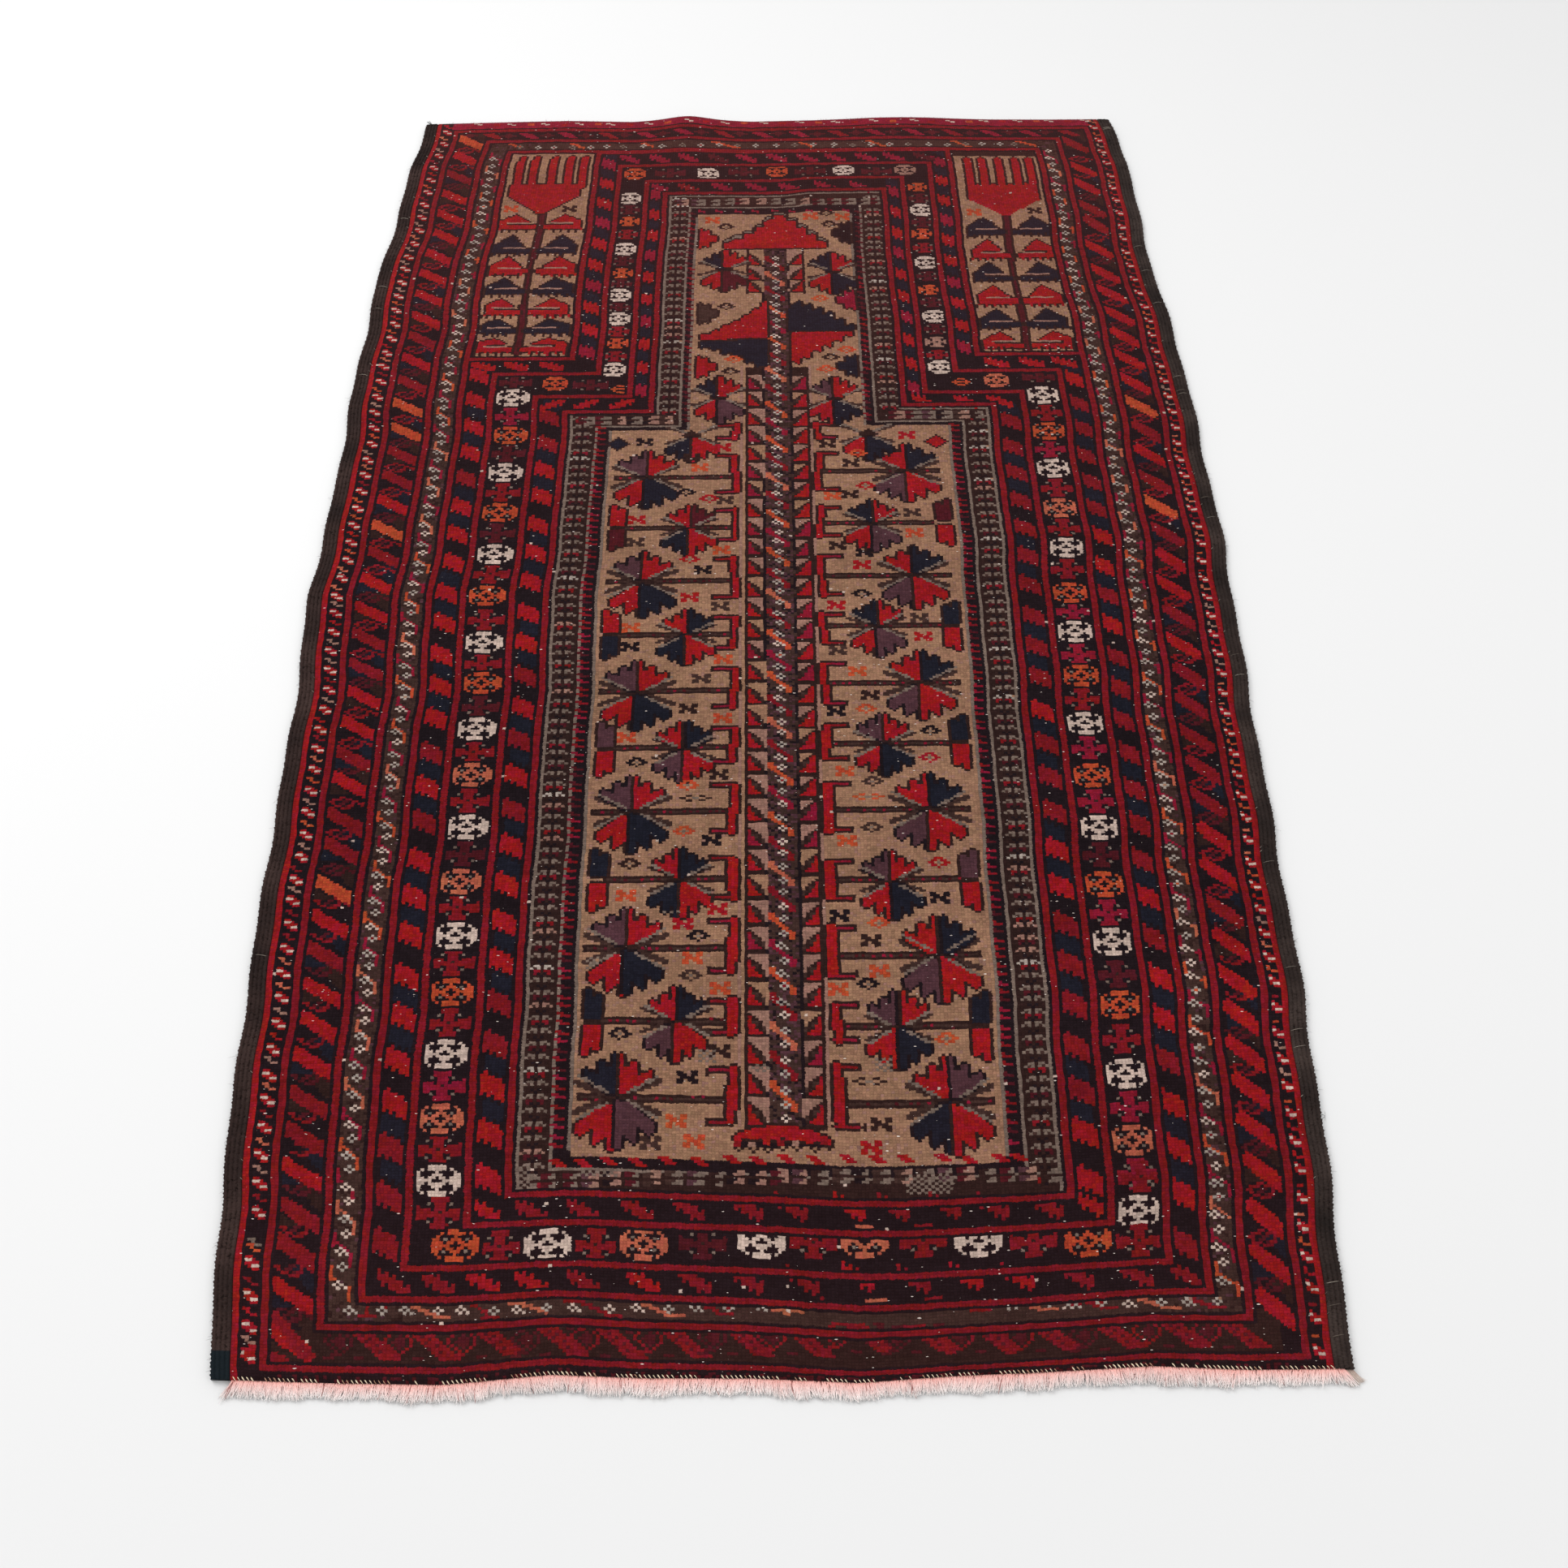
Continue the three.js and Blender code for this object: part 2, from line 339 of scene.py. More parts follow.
# Rings of the border, from the outside in: left, right, near, left shoulder, right shoulder,
# left head, right head, top and ink; a ring with no shoulders is a plain rectangle
none = 9999    # a shoulder past the far end
rings = [
    (-440, 440, 0, none, none, 0, 0, 1484, navyBlack),
    (-417.5, 424.5, 6, none, none, 0, 0, 1471, darkBrown),
    (-416, 423, 8, none, none, 0, 0, 1469, red),
    (-410, 416, 14, none, none, 0, 0, 1465, navyBlack),
    (-371, 379.5, 37, none, none, 0, 0, 1447, red),
    (-363, 372, 43, none, none, 0, 0, 1443, midBrown),
    (-338, 350.5, 57, none, none, 0, 0, 1426, red),
    (-331, 344, 62, none, none, 0, 0, 1421, darkBrown),
    (-338, 350.5, 57, 1068, 1070, -221, 232, 1424, red),
    (-330, 342, 62.5, 1064, 1066, -216, 228, 1421, navyBlack),
    (-305, 319.5, 80, 1045, 1046, -193, 208, 1400, red),
    (-298, 312, 85, 1040, 1043, -187, 204, 1397, navyBlack),
    (-256, 274.5, 113, 1010, 1014, -156, 171, 1369, red),
    (-249, 267.5, 117.5, 1006, 1010, -151, 167, 1366, navyBlack),
    (-223, 242, 135, 988, 994, -132, 147, 1345.5, red),
    (-217, 236, 139, 983, 989, -126, 142, 1341, darkBrown),
    (-215, 234, 140, 981.5, 988, -124, 141, 1340, greyBeige),
    (-212, 231, 142, 980, 986, -121, 138, 1338, darkBrown),
    (-190, 208, 156, 965, 969.5, -99.5, 114.5, 1318, greyBeige),
    (-187, 205, 158, 963, 967, -97, 111.5, 1316, navyBlack),
    (-172, 188, 168, 957, 962, -86, 98, 1305, camel),
]
gridX, gridY = np.meshgrid(chartX, chartY)


def insideRing(ring, inwards=0):
    # knots inside a ring's outer line, or inside the same line moved in by some knots
    left, right, near, leftShoulder, rightShoulder, leftHead, rightHead, top = ring[:-1]
    across, along = inwards * knotWidth, inwards * knotLength
    shoulder = np.where(gridX < 0, leftShoulder, rightShoulder) - along
    body = (gridX > left + across) & (gridX < right - across) & (gridY < shoulder)
    head = (gridX > leftHead + across) & (gridX < rightHead - across)
    return (gridY > near + along) & (gridY < top - along) & (body | head)


for ring in rings:
    knots[insideRing(ring)] = ring[-1]
field = insideRing(rings[-1])
# The grey line beside the field is kept on its two sides alone
greySide = spread(field) & ~field & (gridY > 172) & (np.abs(gridX) < 200) & (gridY < 1300)
sideOnly = greySide & (np.roll(field, 1, 1) | np.roll(field, -1, 1))
knots[sideOnly] = greyBeige
# Camel wool is not one colour: single pinker and browner knots lie among the plain ones
scatter = dice.random(knots.shape)
knots[(knots == camel) & (scatter < 0.07)] = pinkBeige


def redLines():
    # two knots of brick red with one dark knot on each side, drawn over what reaches too far
    for ring in rings:
        if ring[-1] == red:
            knots[insideRing(ring, -1) & ~insideRing(ring, 3)] = navyBlack
    for ring in rings:
        if ring[-1] == red:
            knots[insideRing(ring) & ~insideRing(ring, 2)] = brickRed


# Plain stripes of the outermost border
knots[(gridX < -433) | (gridX > 434)] = red
knots[(gridY > 1471) & (gridX > -418) & (gridX < 424)] = cherry
knots[(gridY < 5.5) & (np.abs(gridX) < 420) & (scatter < 0.3)] = maroon

# Checkered stripe of the two sides
whitePair = ["RR..", "WWR.", "RRRR", ".RWW", "..RR"]
orangePair = ["OO..", ".O..", "..OO"]
leftChecks = [18, 40, 63, 86] + steps(126, 1462, 60)
rightChecks = steps(14, 1464, 64)
for x, places in [(-424.5, leftChecks), (428.5, rightChecks)]:
    for y in places:
        warm = dice.choice([orange, salmon, red, brickRed, pinkBeige])
        knotStamp(onRug(x, y), y, whitePair, {"R": red, "W": ivory})
        knotStamp(onRug(x, y), y + 11.5, orangePair, {"O": warm})
knotStamp(onRug(-424.5, 104), 104, orangePair, {"O": greyBeige})

# Slanting bars of the outer border, with a chain between each two: a hollow diamond that leans,
# hooked to the bar above and below
leftBars = ([45, 79, 110, 141, 173] + steps(200, 425, 8) + [463, 496, 532, 560]
            + steps(594, 1250, 20) + [1285, 1318, 1355, 1392, 1425, 1459])
rightBars = ([60, 94, 130, 166] + steps(200, 396, 7) + [433, 470, 506, 542]
             + steps(577, 1215, 19) + [1255, 1298, 1328, 1368, 1400, 1448])

chainChart = ["....MM......", "..MMM.MM....", "MMM..mm.MM..", "M.M.mm..M.MM", "...MM.mMM..M",
              ".....MMM...."]
for column, halfWide, fall, places in [(-391.5, 18.5, 19, leftBars), (398, 16, 22, rightBars)]:
    for number, y in enumerate(places):
        middle = onRug(column, y)
        x0, x1 = middle - halfWide, middle + halfWide
        ground = [darkBrown, navy, navyBlack][number % 3]
        knotPolygon([(x0 + 14, y + 3), (x1, y - 16), (x1, y + 12)], ground)
        knotPolygon([(x0, y - 12), (x0 + 22, y - 24), (x0, y - 27)], ground)
        if y + 14 < 1460:
            knotStamp(middle + 1, y + 2.5, chainChart,
                      {"M": brickRed if number % 3 else maroon, "m": maroon})
        ink = dice.choice([red, red, brickRed, red, brickRed, orange],
                          p=[0.3, 0.2, 0.2, 0.15, 0.1, 0.05])
        knotPolygon([(x0, y - 1), (x0 + 4, y), (x1, y - fall), (x1, y - fall - 10),
                     (x1 - 4, y - fall - 11), (x0, y - 11)], ink)

# Near band of the same border: bars, leaning diamonds and small blocks
nearChart = ["...MMMBBBBBB..LLL....", "..MM...BBBBBB..LL....", ".M..m.M.BBbBBB.......",
             "M..mmm.M.BBBbBB......", "M.mmmm.M..BbBBBB.....", ".M.mmm.M...BBBbBB....",
             "..M.m.M.....bBBBBB...", "...M.M.......BBbBBB..", "..MMM.........BBBBBB.",
             "MMM.....LLL....BBBBBB"]
knotPolygon([(-390, 50), (-381, 51), (-345, 15), (-360, 15)], brickRed)
knotPolygon([(-400, 24), (-390, 26), (-388, 20), (-400, 18)], red)
knotPolygon([(-384, 21), (-376, 21), (-368, 15), (-388, 15)], brickRed)
knots[(gridY > 14) & (gridY < 37) & (knots == navyBlack) & (np.abs(gridX) < 400)] = darkBrown
for number, x in enumerate(steps(-329, 326, 15)):
    knotStamp(x + 15, 25.3, nearChart, {"B": brickRed, "b": maroon, "L": maroon,
                                        "M": brickRed if number % 3 else maroon, "m": maroon})
for number, x in enumerate(steps(-362, 352, 16)):
    knotPolygon([(x, 1464), (x + 14, 1464), (x + 36, 1450), (x + 22, 1450)],
                cherry if number % 3 else brickRed)
    knotShape(x - 6, 1456, 9, 5, lambda dx, dy: np.abs(dx) / 10 + np.abs(dy) / 5 < 1, maroon)

# Flower band: four white knots round a dark one, between slanting leaves
flower = [".W.", "W.W", ".W."]
flowerTailed = [".W..", "W.W.", ".W.W"]


def smallFlower(x, y, tailed, share):
    # ivory for that share of the flowers, ash for the rest
    knotStamp(x, y, flowerTailed if tailed else flower, {"W": either(share, ivory, ash)})


def slantLeaf(x, y, ink, wide=18, tall=25):
    # a block, a thin slanting stem and a second block at its foot
    knotLine(x + 2, y - 2, x + 2, y - 7, 4.5, ink)
    knotLine(x + 3, y - 8, x + wide - 3, y - tall + 9, 2.6, ink)
    knotLine(x + wide - 2, y - tall + 8, x + wide - 2, y - tall + 2, 4.5, ink)


for centre, first in [(-351.5, 70), (362, 66)]:
    for number, y in enumerate(np.arange(first, 1422, 25.3) + 13):
        warm = orange if dice.random() > 0.35 else salmon
        slantLeaf(onRug(centre, y) - 9.5, y, warm if number % 2 == 0 else cherry)
    for number, y in enumerate(np.arange(first, 1422, 12.65)):
        smallFlower(onRug(centre, y), y, number % 2 == 0, 0.35)
nearFlowers = [-323, -302, -281, -260, -239, -217, -197, -176, -153, -130, -107, -83, -61, -37,
               -13, 8, 29, 55, 80, 103, 126, 150, 178, 205, 225, 247, 270, 291, 313, 335]
for ink, places in [(salmon, [(-292, -250), (-205, -165), (-115, -72), (-30, 18), (67, 115),
                              (167, 213), (262, 305)]),
                    (brickRed, [(-322, -305), (-163, -120), (22, 50), (112, 160), (215, 258),
                                (300, 340), (-245, -212), (-70, -35)])]:
    for x0, x1 in places:
        knotLine(x0, 55, x0 + 10, 55, 2.5, ink)
        knotLine(x0 + 10, 55, x1 - 10, 46, 3.2, ink)
        knotLine(x1 - 12, 45.5, x1, 45.5, 4.2, ink)
for number, x in enumerate(nearFlowers):
    smallFlower(x, 50, number % 2 == 0, 0.35)
farFlowers = [-305, -285, -265, -242, -220, -200, -180, -155, -130, -107, -83, -60, -38, -15, 10,
              32, 57, 80, 103, 128, 151, 173, 198, 222, 243, 265, 287, 305]
for x0, y0, x1, y1 in [(-330, 1446, -305, 1433), (-250, 1445, -225, 1432), (-165, 1445, -140, 1433),
                       (-70, 1440, -35, 1428), (35, 1442, 52, 1430), (120, 1443, 145, 1430),
                       (225, 1440, 250, 1428), (300, 1442, 330, 1430)]:
    knotLine(x0, y0, x1, y1, 3.6, orange)
for number, x in enumerate(farFlowers):
    knotStamp(x, 1434, flower, {"W": ash if number % 3 else greyBeige})


def serratedSlab(x, y, halfWidth, halfHeight, slope, ink):
    # a slanting slab whose upper and lower edges step up and down with every second knot
    def rule(dx, dy):
        tooth = 1.3 * knotLength * (np.round(dx / knotWidth).astype(int) % 2)
        level = dy + slope * dx + tooth
        return (np.abs(dx) <= halfWidth) & (level < halfHeight) & (level > -halfHeight)

    knotShape(x, y, halfWidth, halfHeight + abs(slope) * halfWidth + 3, rule, ink)


for centre, first, last, pitch in [(-318.5, 102, 1050, 37.6), (331.5, 96, 1050, 37.4),
                                   (-236.5, 152, 995, 37.6), (254.5, 146, 995, 37.4)]:
    for number, y in enumerate(np.arange(first, last, pitch)):
        serratedSlab(onRug(centre, y), y + pitch / 2, 10.5, 7.5, 0.42,
                     navy if number % 3 else navyBlack)
        # the right-hand bands take brick red more often than the left-hand ones: painted shade for
        # the dimmer light on the right side
        serratedSlab(onRug(centre, y), y, 10.5, 9.0, 0.42,
                     either(0.7 if centre < 0 else 0.5, red, brickRed))
for centre, places in [(-204, steps(1078, 1402, 10)), (218, steps(1080, 1402, 10)),
                       (-141.5, steps(1018, 1345, 10)), (156, steps(1020, 1345, 10))]:
    for number, y in enumerate(places):
        serratedSlab(onRug(centre, y), y + 17, 9, 7, 0.5, navy)
        serratedSlab(onRug(centre, y), y, 9, 8, 0.5, red if number % 3 else cherry)
# rows across: y, half width, half height, slope, share of the first ink, both inks, places
crossRows = [
    (71, 14, 4.8, 0.5, 0.35, red, brickRed,
     [-296, -262, -228, -190, -150, -105, -65, -25, 18, 60, 105, 145, 185, 230, 275, 316]),
    (126, 14, 4.8, 0.5, 0.4, red, brickRed,
     [-230, -195, -155, -110, -70, -25, 10, 55, 90, 130, 170, 212, 250]),
    (1410, 12, 4.6, 0.45, 0.5, cherry, maroon, steps(-170, 190, 11)),
    (1356, 13, 4.6, 0.45, 0.6, cherry, brickRed, [-135, -97, -57, -15, 25, 68, 112])]
for y, halfWidth, halfHeight, slope, share, ink, other, places in crossRows:
    for x in places:
        serratedSlab(x, y, halfWidth, halfHeight, slope, either(share, ink, other))
for x in [-316, -282, -242, 250, 290, 325]:
    serratedSlab(x, 1055, 13, 4.8, 0.4, red)
for x, slope in [(-200, -0.5), (-162, -0.5), (-236, -0.5), (168, 0.5), (212, 0.5), (250, 0.5)]:
    serratedSlab(x, 998, 13, 4.6, slope, red)


def mirrored(halves):
    # each line of a chart from its left half and middle knot
    return [half + half[-2::-1] for half in halves]


# Octagons and the butterflies between them, charted knot by knot
octagonChart = mirrored(["....WWW", "..W.WWW", ".WBBBBW", "WWBBBWW", "WWWBWWB", "WWWWWBB",
                         "WWWBWWW", "WWBBBWW", ".WBBBBW", "..W.WWW", "....WWW"])
warmChart = mirrored(["....WWW", "..W.WWW", ".WBBBBW", "WWBgBWW", "WWWBWWB", "WWWWWBB",
                      "WWWBWWB", "WWBgBWW", ".WBBBBW", "..W.WWW", "....WWW"])
smallChart = mirrored(["..WWW", ".WWWW", "WBBBW", "WWBWW", "WWWWB", "WWBWW", "WBBBW", ".WWWW",
                       "..WWW"])
flatChart = mirrored(["..WWW", "WBBWW", "WWBWW", "WWWWB", "WWBWW", "WBBWW", "..WWW"])
butterflyChart = mirrored(["....RRR", "....RRR", "...g.RR", "R....RR", "RRRR.RR", "RRRRRRB",
                           "RRRRRRR", "RRR..RR", "...g.RR", "....RRR", "....RRR"])
lowButterfly = butterflyChart[2:9]
smallButterfly = mirrored(["..RRR", ".g.RR", "RR.RR", "RRRRB", "RR.RR", ".g.RR", "..RRR"])


def octagon(x, y, ink, chart=None):
    # an eight-sided medallion with dotted corners, four dark spots and a dark heart
    lines = chart or (octagonChart if ink == ivory else warmChart)
    wide, tall = len(lines[0]) / 2 * knotWidth, len(lines) / 2 * knotLength
    knotShape(x, y, wide, tall, lambda dx, dy: (np.abs(dx) < wide) & (np.abs(dy) < tall)
              & (np.abs(dx) / wide + np.abs(dy) / tall < 1.5), navyBlack, navyBlack)
    knotStamp(x, y, lines, {"W": ink, "B": navyBlack, "g": greyBeige})


def butterfly(x, y, ink, chart=butterflyChart):
    # a cross of four wedges with a pale knot in each of its corners
    knotStamp(x, y, chart, {"R": ink, "B": darkBrown, "g": greyBeige})


leftIvory = [150, 257, 365, 473, 577, 678, 790, 900, 1007]
leftOrange = [200, 312, 418, 527, 630, 736, 845, 952]
rightIvory = [120, 232, 352, 465, 578, 685, 791, 900, 1006]
rightOrange = [177, 293, 409, 521, 632, 735, 844, 952]
for centre, ivories, oranges in [(-278.5, leftIvory, leftOrange), (295.5, rightIvory, rightOrange)]:
    both = sorted(ivories + oranges)
    for low, high in zip(both[:-1], both[1:]):
        y = (low + high) / 2
        butterfly(onRug(centre, y), y, dice.choice([cherry, brickRed, brickRed, maroon]))
    for y in ivories:
        octagon(onRug(centre, y), y, ivory)
    for y in oranges:
        octagon(onRug(centre, y), y, dice.choice([orange, orange, salmon]))
butterfly(-266, 124, brickRed)
butterfly(290, 148, brickRed)
for x in [-216, -143, -59, 28, 112, 198, 281]:
    butterfly(x, 98, either(0.5, brickRed, maroon))
for x, ink in [(-252, orange), (-180, ivory), (-105, salmon), (-13, ivory), (68, salmon),
               (155, ivory), (240, orange)]:
    octagon(x, 98, ink)
for x, y in [(-282, 1030), (-196, 1026), (297, 1032)]:
    butterfly(x, y, maroon, lowButterfly)
for x, y, ink in [(-237, 1027, orange), (248, 1028, salmon)]:
    octagon(x, y, ink, smallChart)
for x, y, ink in [(-164, 1018, orange), (209, 1025, orange)]:
    knotStamp(x, y, ["..WWW..", ".WB.BW.", "WWWWWWW", ".WB.BW.", "..WWW.."],
              {"W": ink, "B": navyBlack})
headLeft = [(1336, ivory), (1295, orange), (1247, ivory), (1205, orange), (1168, ivory),
            (1128, ivory), (1090, orange), (1048, ivory)]
headRight = [(1354, orange), (1311, ivory), (1270, orange), (1218, ivory), (1174, orange),
             (1130, ivory), (1087, pinkBeige), (1048, ivory)]
for x, column in [(-171.5, headLeft), (186.5, headRight)]:
    for upper, lower in zip(column[:-1], column[1:]):
        y = (upper[0] + lower[0]) / 2
        butterfly(onRug(x, y), y, either(0.6, maroon, brickRed), smallButterfly)
    for y, ink in column:
        octagon(onRug(x, y), y, ink, smallChart if ink == ivory else flatChart)
for x in [-120, -30, 50, 130]:
    butterfly(x, 1383, maroon, lowButterfly)
for x, y, ink in [(-72, 1381, ivory), (92, 1384, ivory), (10, 1383, orange), (-163, 1382, orange),
                  (165, 1385, pinkBeige)]:
    octagon(x, y, ink, smallChart)

# Grey ladder, boxes and dashes next to the field
ladderChart = [".GG.GG.", "GgG.GgG", ".MM.MM.", ".MD.DM.", "...D..."]
for centre, first, last in [(-201, 146, 978), (219.5, 146, 984), (-110.3, 985, 1335),
                            (126.3, 988, 1335)]:
    for number, y in enumerate(np.arange(first, last, 11.5)):
        arc = dice.choice([greyBeige, greyBeige, pinkBeige, ash], p=[0.6, 0.2, 0.12, 0.08])
        lump = [brickRed, darkBrown, maroon, darkBrown][number % 4]
        knotStamp(onRug(centre, y), y, ladderChart,
                  {"G": arc, "g": midBrown, "M": lump, "D": navyBlack})


def boxRow(x0, x1, y, pitch):
    # beige boxes with a darker block at the left of each and a thin dark line at mid height
    for x in np.arange(x0, x1, pitch):
        ink = dice.choice([darkBrown, maroon, navyBlack, aubergine, midBrown])
        knotBox(x + 4, y - 6, x + pitch - 1, y + 6, dice.choice([greyBeige, pinkBeige, greyBeige]))
        knotPolygon([(x, y - 6.5), (x + 6, y - 6.5), (x + 10, y - 1), (x + 7, y + 1),
                     (x + 10, y + 6.5), (x, y + 6.5)], ink)
        knotLine(x, y, x + pitch - 3, y, 1.4, darkBrown)


for place in [(-206, 226, 149.5, 16.6), (-112, 128, 1328, 18), (-206, -112, 972.5, 17),
              (128, 226, 978, 17)]:
    boxRow(*place)
for x, last in [(-181, 962), (197, 966)]:
    for y in np.arange(176, last, 8.1):
        ink = dice.choice([cherry, brickRed, maroon, brickRed])
        knotStamp(onRug(x, y), y, ["RR..", ".RRR"], {"R": ink})
knots[sideOnly] = greyBeige
for x in [-177, -157, -135, -112, -88, -63, -38, -17, 7, 31, 55, 80, 103, 131, 153, 178, 193]:
    knotLine(x - 3.5, 165, x + 4.5, 161.5, 4.4, red)
for x, last in [(-92, 1310), (105, 1310)]:
    for y in np.arange(970, last, 8.6):
        knotStamp(x, y, ["RR.", ".RR"], {"R": dice.choice([brickRed, maroon, maroon])})
for x in steps(-80, 92, 9):
    knotLine(x - 3, 1311.5, x + 3, 1309.5, 2.6, cherry)

# The trunk that stands in the middle of the field
for x0, x1, ink in [(-33.5, 45.5, camel), (-28, 40.5, darkBrown)]:
    knotBox(x0, 188, x1, 1052, ink, bent=True)
knotBox(-8, 190, 22, 1246, navyBlack, bent=True)
knotBox(-4.5, 190, 19, 1246, midBrown, bent=True)
for x in (-31, 43.5):
    knotLine(x, 192, x, 1050, 3.2, pinkBeige, bent=True)
strip = (np.abs(gridX - 9) < 21) & (gridY > 185) & (gridY < 1250) & (knots == midBrown)
knots[strip & (dice.random(knots.shape) < 0.3)] = aubergine
knots[strip & (dice.random(knots.shape) < 0.15)] = navyBlack
flowerGround = (knots == midBrown) & (np.abs(gridX) > 300)
knots[flowerGround & (dice.random(knots.shape) < 0.2)] = darkBrown
knots[flowerGround & (dice.random(knots.shape) < 0.06)] = aubergine
# Slanting stems on the trunk: a block, a thin slope and a taller block at its foot
trunkChart = ["ZZ......", "ZZ......", "ZZZ.....", ".ZZ.....", "..ZZ....", "...ZZ...", "....ZZ..",
              ".....ZZ.", "......ZZ", "......ZZ", "......ZZ"]
for number, y in enumerate(np.arange(228, 1246, 25.7)):
    ink = [orange, brickRed, salmon, brickRed, orange, cherry][number % 6]
    knotStamp(7, y - 12, trunkChart, {"Z": ink})
for y in np.arange(196, 1240, 12.9):
    smallFlower(7.5, y, dice.random() >= 0.7, 0.4)
leafChart = ["......", "D.....", "RD....", "RMD...", "RRDD..", "RRggD.", "RRRgD.", "RRRDDg",
             "RRRRDg", "RRRRRD", "DDDDDD"]


def compartment(side, base, tall):
    # a small field with a red leaf that fills its lower outer corner, and a dark lump above it
    outer, inner = (-26, -8) if side < 0 else (40, 22.5)
    knotBox(outer, base + 2, inner, base + tall - 1, either(0.6, pinkBeige, camel), bent=True)
    lines = leafChart if side < 0 else [line[::-1] for line in leafChart]
    fitting = lines if tall >= 24 else lines[-int(tall / knotLength + 0.5):]
    knotStamp((outer + inner) / 2 + 1.5, base + 11.5, fitting,
              {"R": either(0.75, red, cherry), "D": darkBrown, "g": midBrown, "M": brickRed})
    knotLine(outer - side * 0.5, base, outer - side * 0.5, base + tall, 2.4, darkBrown)


for side, first in [(-1, 192), (1, 190)]:
    for base in np.arange(first, 1030, 25.75):
        compartment(side, base, 24)
    for base, tall in [(1168, 20), (1191, 24), (1217, 26)]:
        compartment(side, base, tall)


def dome(dx, dy):
    # between a high parabola and a flat one that opens downwards
    return (np.abs(dx) < 39) & (dy < 10.5 * (1 - (dx / 41) ** 2)) & (dy > -3 * (dx / 39) ** 2)


knotBox(-33, 182, 42, 173, navyBlack, bent=True)
knotShape(4.5, 180, 40, 12, dome, red, darkBrown)
for number, x in enumerate(steps(-31, 40, 7)):
    knotStamp(x, 176, ["PP", "PP"], {"P": [brickRed, pinkBeige, red][number % 3]})
    knotStamp(x + 1, 170.5, ["D.D", ".D."], {"D": darkBrown})

# Brackets each side of the trunk, square hooks of red with dark outlines
leftBrackets = [(193, 241), (269, 303), (325, 378), (396, 440), (463, 515), (535, 577), (597, 648),
                (668, 708), (730, 782), (803, 848), (867, 922), (942, 966)]
rightBrackets = [(187, 243), (262, 297), (320, 369), (393, 435), (463, 515), (538, 580), (601, 652),
                 (672, 712), (731, 785), (806, 850), (870, 924), (943, 967)]
leftStems = [216, 283, 350, 416, 486, 554, 618, 685, 752, 822, 891, 948]
rightStems = [209, 275, 341, 414, 486, 558, 626, 694, 758, 826, 897, 950]
for side, brackets, stems in [(-1, leftBrackets, leftStems), (1, rightBrackets, rightStems)]:
    inner, outer, reachX = (-35, -41, -57) if side < 0 else (47, 53, 69)
    for number, ((low, high), stem) in enumerate(zip(brackets, stems)):
        big = number % 2 == 0
        # the stem runs from the bracket out to its palmette, or to the edge of the field
        far = (-129 if big else -84) if side < 0 else (142 if big else 103)
        end = far + side * 34 if big else (-148 if side < 0 else 164)
        if number < 11:
            knotLine(outer, stem, end, stem, 7.4, darkBrown)
            knotLine(outer, stem, end, stem, 2.4, midBrown)
            for x in np.arange(min(outer, end) + 6, max(outer, end), 8):
                if dice.random() < 0.7:
                    knotLine(x, stem, x + dice.choice([0, 3]), stem, 2.4,
                             dice.choice([maroon, cherry]))
        arms = [(inner, y, reachX, y + 3.4) for y in (low + 1, high - 4.4)]
        core = (inner, low + 0.5, outer, high - 0.5)
        for part in arms + [core]:
            knotBox(*part, darkBrown, darkBrown, bent=True)
        for part in arms:
            knotBox(*part, either(0.5, brickRed, cherry), bent=True)
            knotLine(reachX + side, part[1], reachX + side, part[3], 2.4, darkBrown, bent=True)
        knotBox(*core, red, bent=True)

# Palmettes: four toothed quarters round a cross of grey and brown rays
upperQuarter = [(0, 2), (0, 37), (4.5, 38), (5.5, 25), (7, 24), (13, 31), (16, 31), (17, 18.5),
                (26, 23.5), (28.5, 22), (29, 16), (10, 4)]
lowerQuarter = [(0, 3), (0, 44), (4.5, 45), (6, 33), (7.5, 32), (13, 39), (16.5, 38), (18, 26),
                (27, 31), (30, 30), (30, 21), (10, 5)]
quarters = [(-1, 1), (1, 1), (-1, -1), (1, -1)]


def palmette(x, y, inks, size=1.0):
    # four toothed quarters, each with its dark outline, over slanting brown and grey rays
    for sx, sy in quarters:
        knotLine(x + sx * 6 * size, y + sy * 2 * size, x + sx * 34 * size, y + sy * 12.5 * size,
                 5 * size, midBrown)
    knotShape(x, y, 12 * size, 9 * size, lambda dx, dy: np.abs(dx) / 14 + np.abs(dy) / 9 < size,
              darkBrown)
    for (sx, sy), ink in zip(quarters, inks):
        if ink is None:
            continue
        outline = upperQuarter if sy > 0 else lowerQuarter
        points = [(x + sx * (px + 0.4) * size, y + sy * py * size) for px, py in outline]
        knotPolygon(points, ink, navyBlack if ink in (navy, aubergine) else darkBrown)
    for sx, sy in quarters:
        knotLine(x + sx * 9 * size, y + sy * 4.5 * size, x + sx * 32 * size, y + sy * 17.5 * size,
                 2.2, greyBeige)


leftLarge = [(217, -131, navy), (350, -129, aubergine), (487, -129, aubergine),
             (617, -130, aubergine), (752, -130, aubergine), (891, -131, aubergine)]
for y, x, ink in leftLarge:
    palmette(x, y, (ink, red, red, aubergine if y == 217 else navy))
leftSmall = [(283, navy, aubergine), (417, navy, navy), (553, navy, aubergine), (686, navy, navy),
             (822, maroon, navy)]
for y, inkA, inkB in leftSmall:
    palmette(-84, y, (red, inkA, inkB, red), 0.82)
for number, y in enumerate([210, 341, 486, 626, 758, 897]):
    inkA, inkB = (aubergine, navy) if number == 0 else (navy, aubergine)
    palmette(142, y, (red, inkA, inkB, red))
rightSmall = [(275, aubergine, navy), (413, aubergine, navy), (558, aubergine, navy),
              (694, navy, aubergine), (826, navy, aubergine)]
for y, inkA, inkB in rightSmall:
    palmette(103, y, (inkA, red, red, inkB), 0.82)


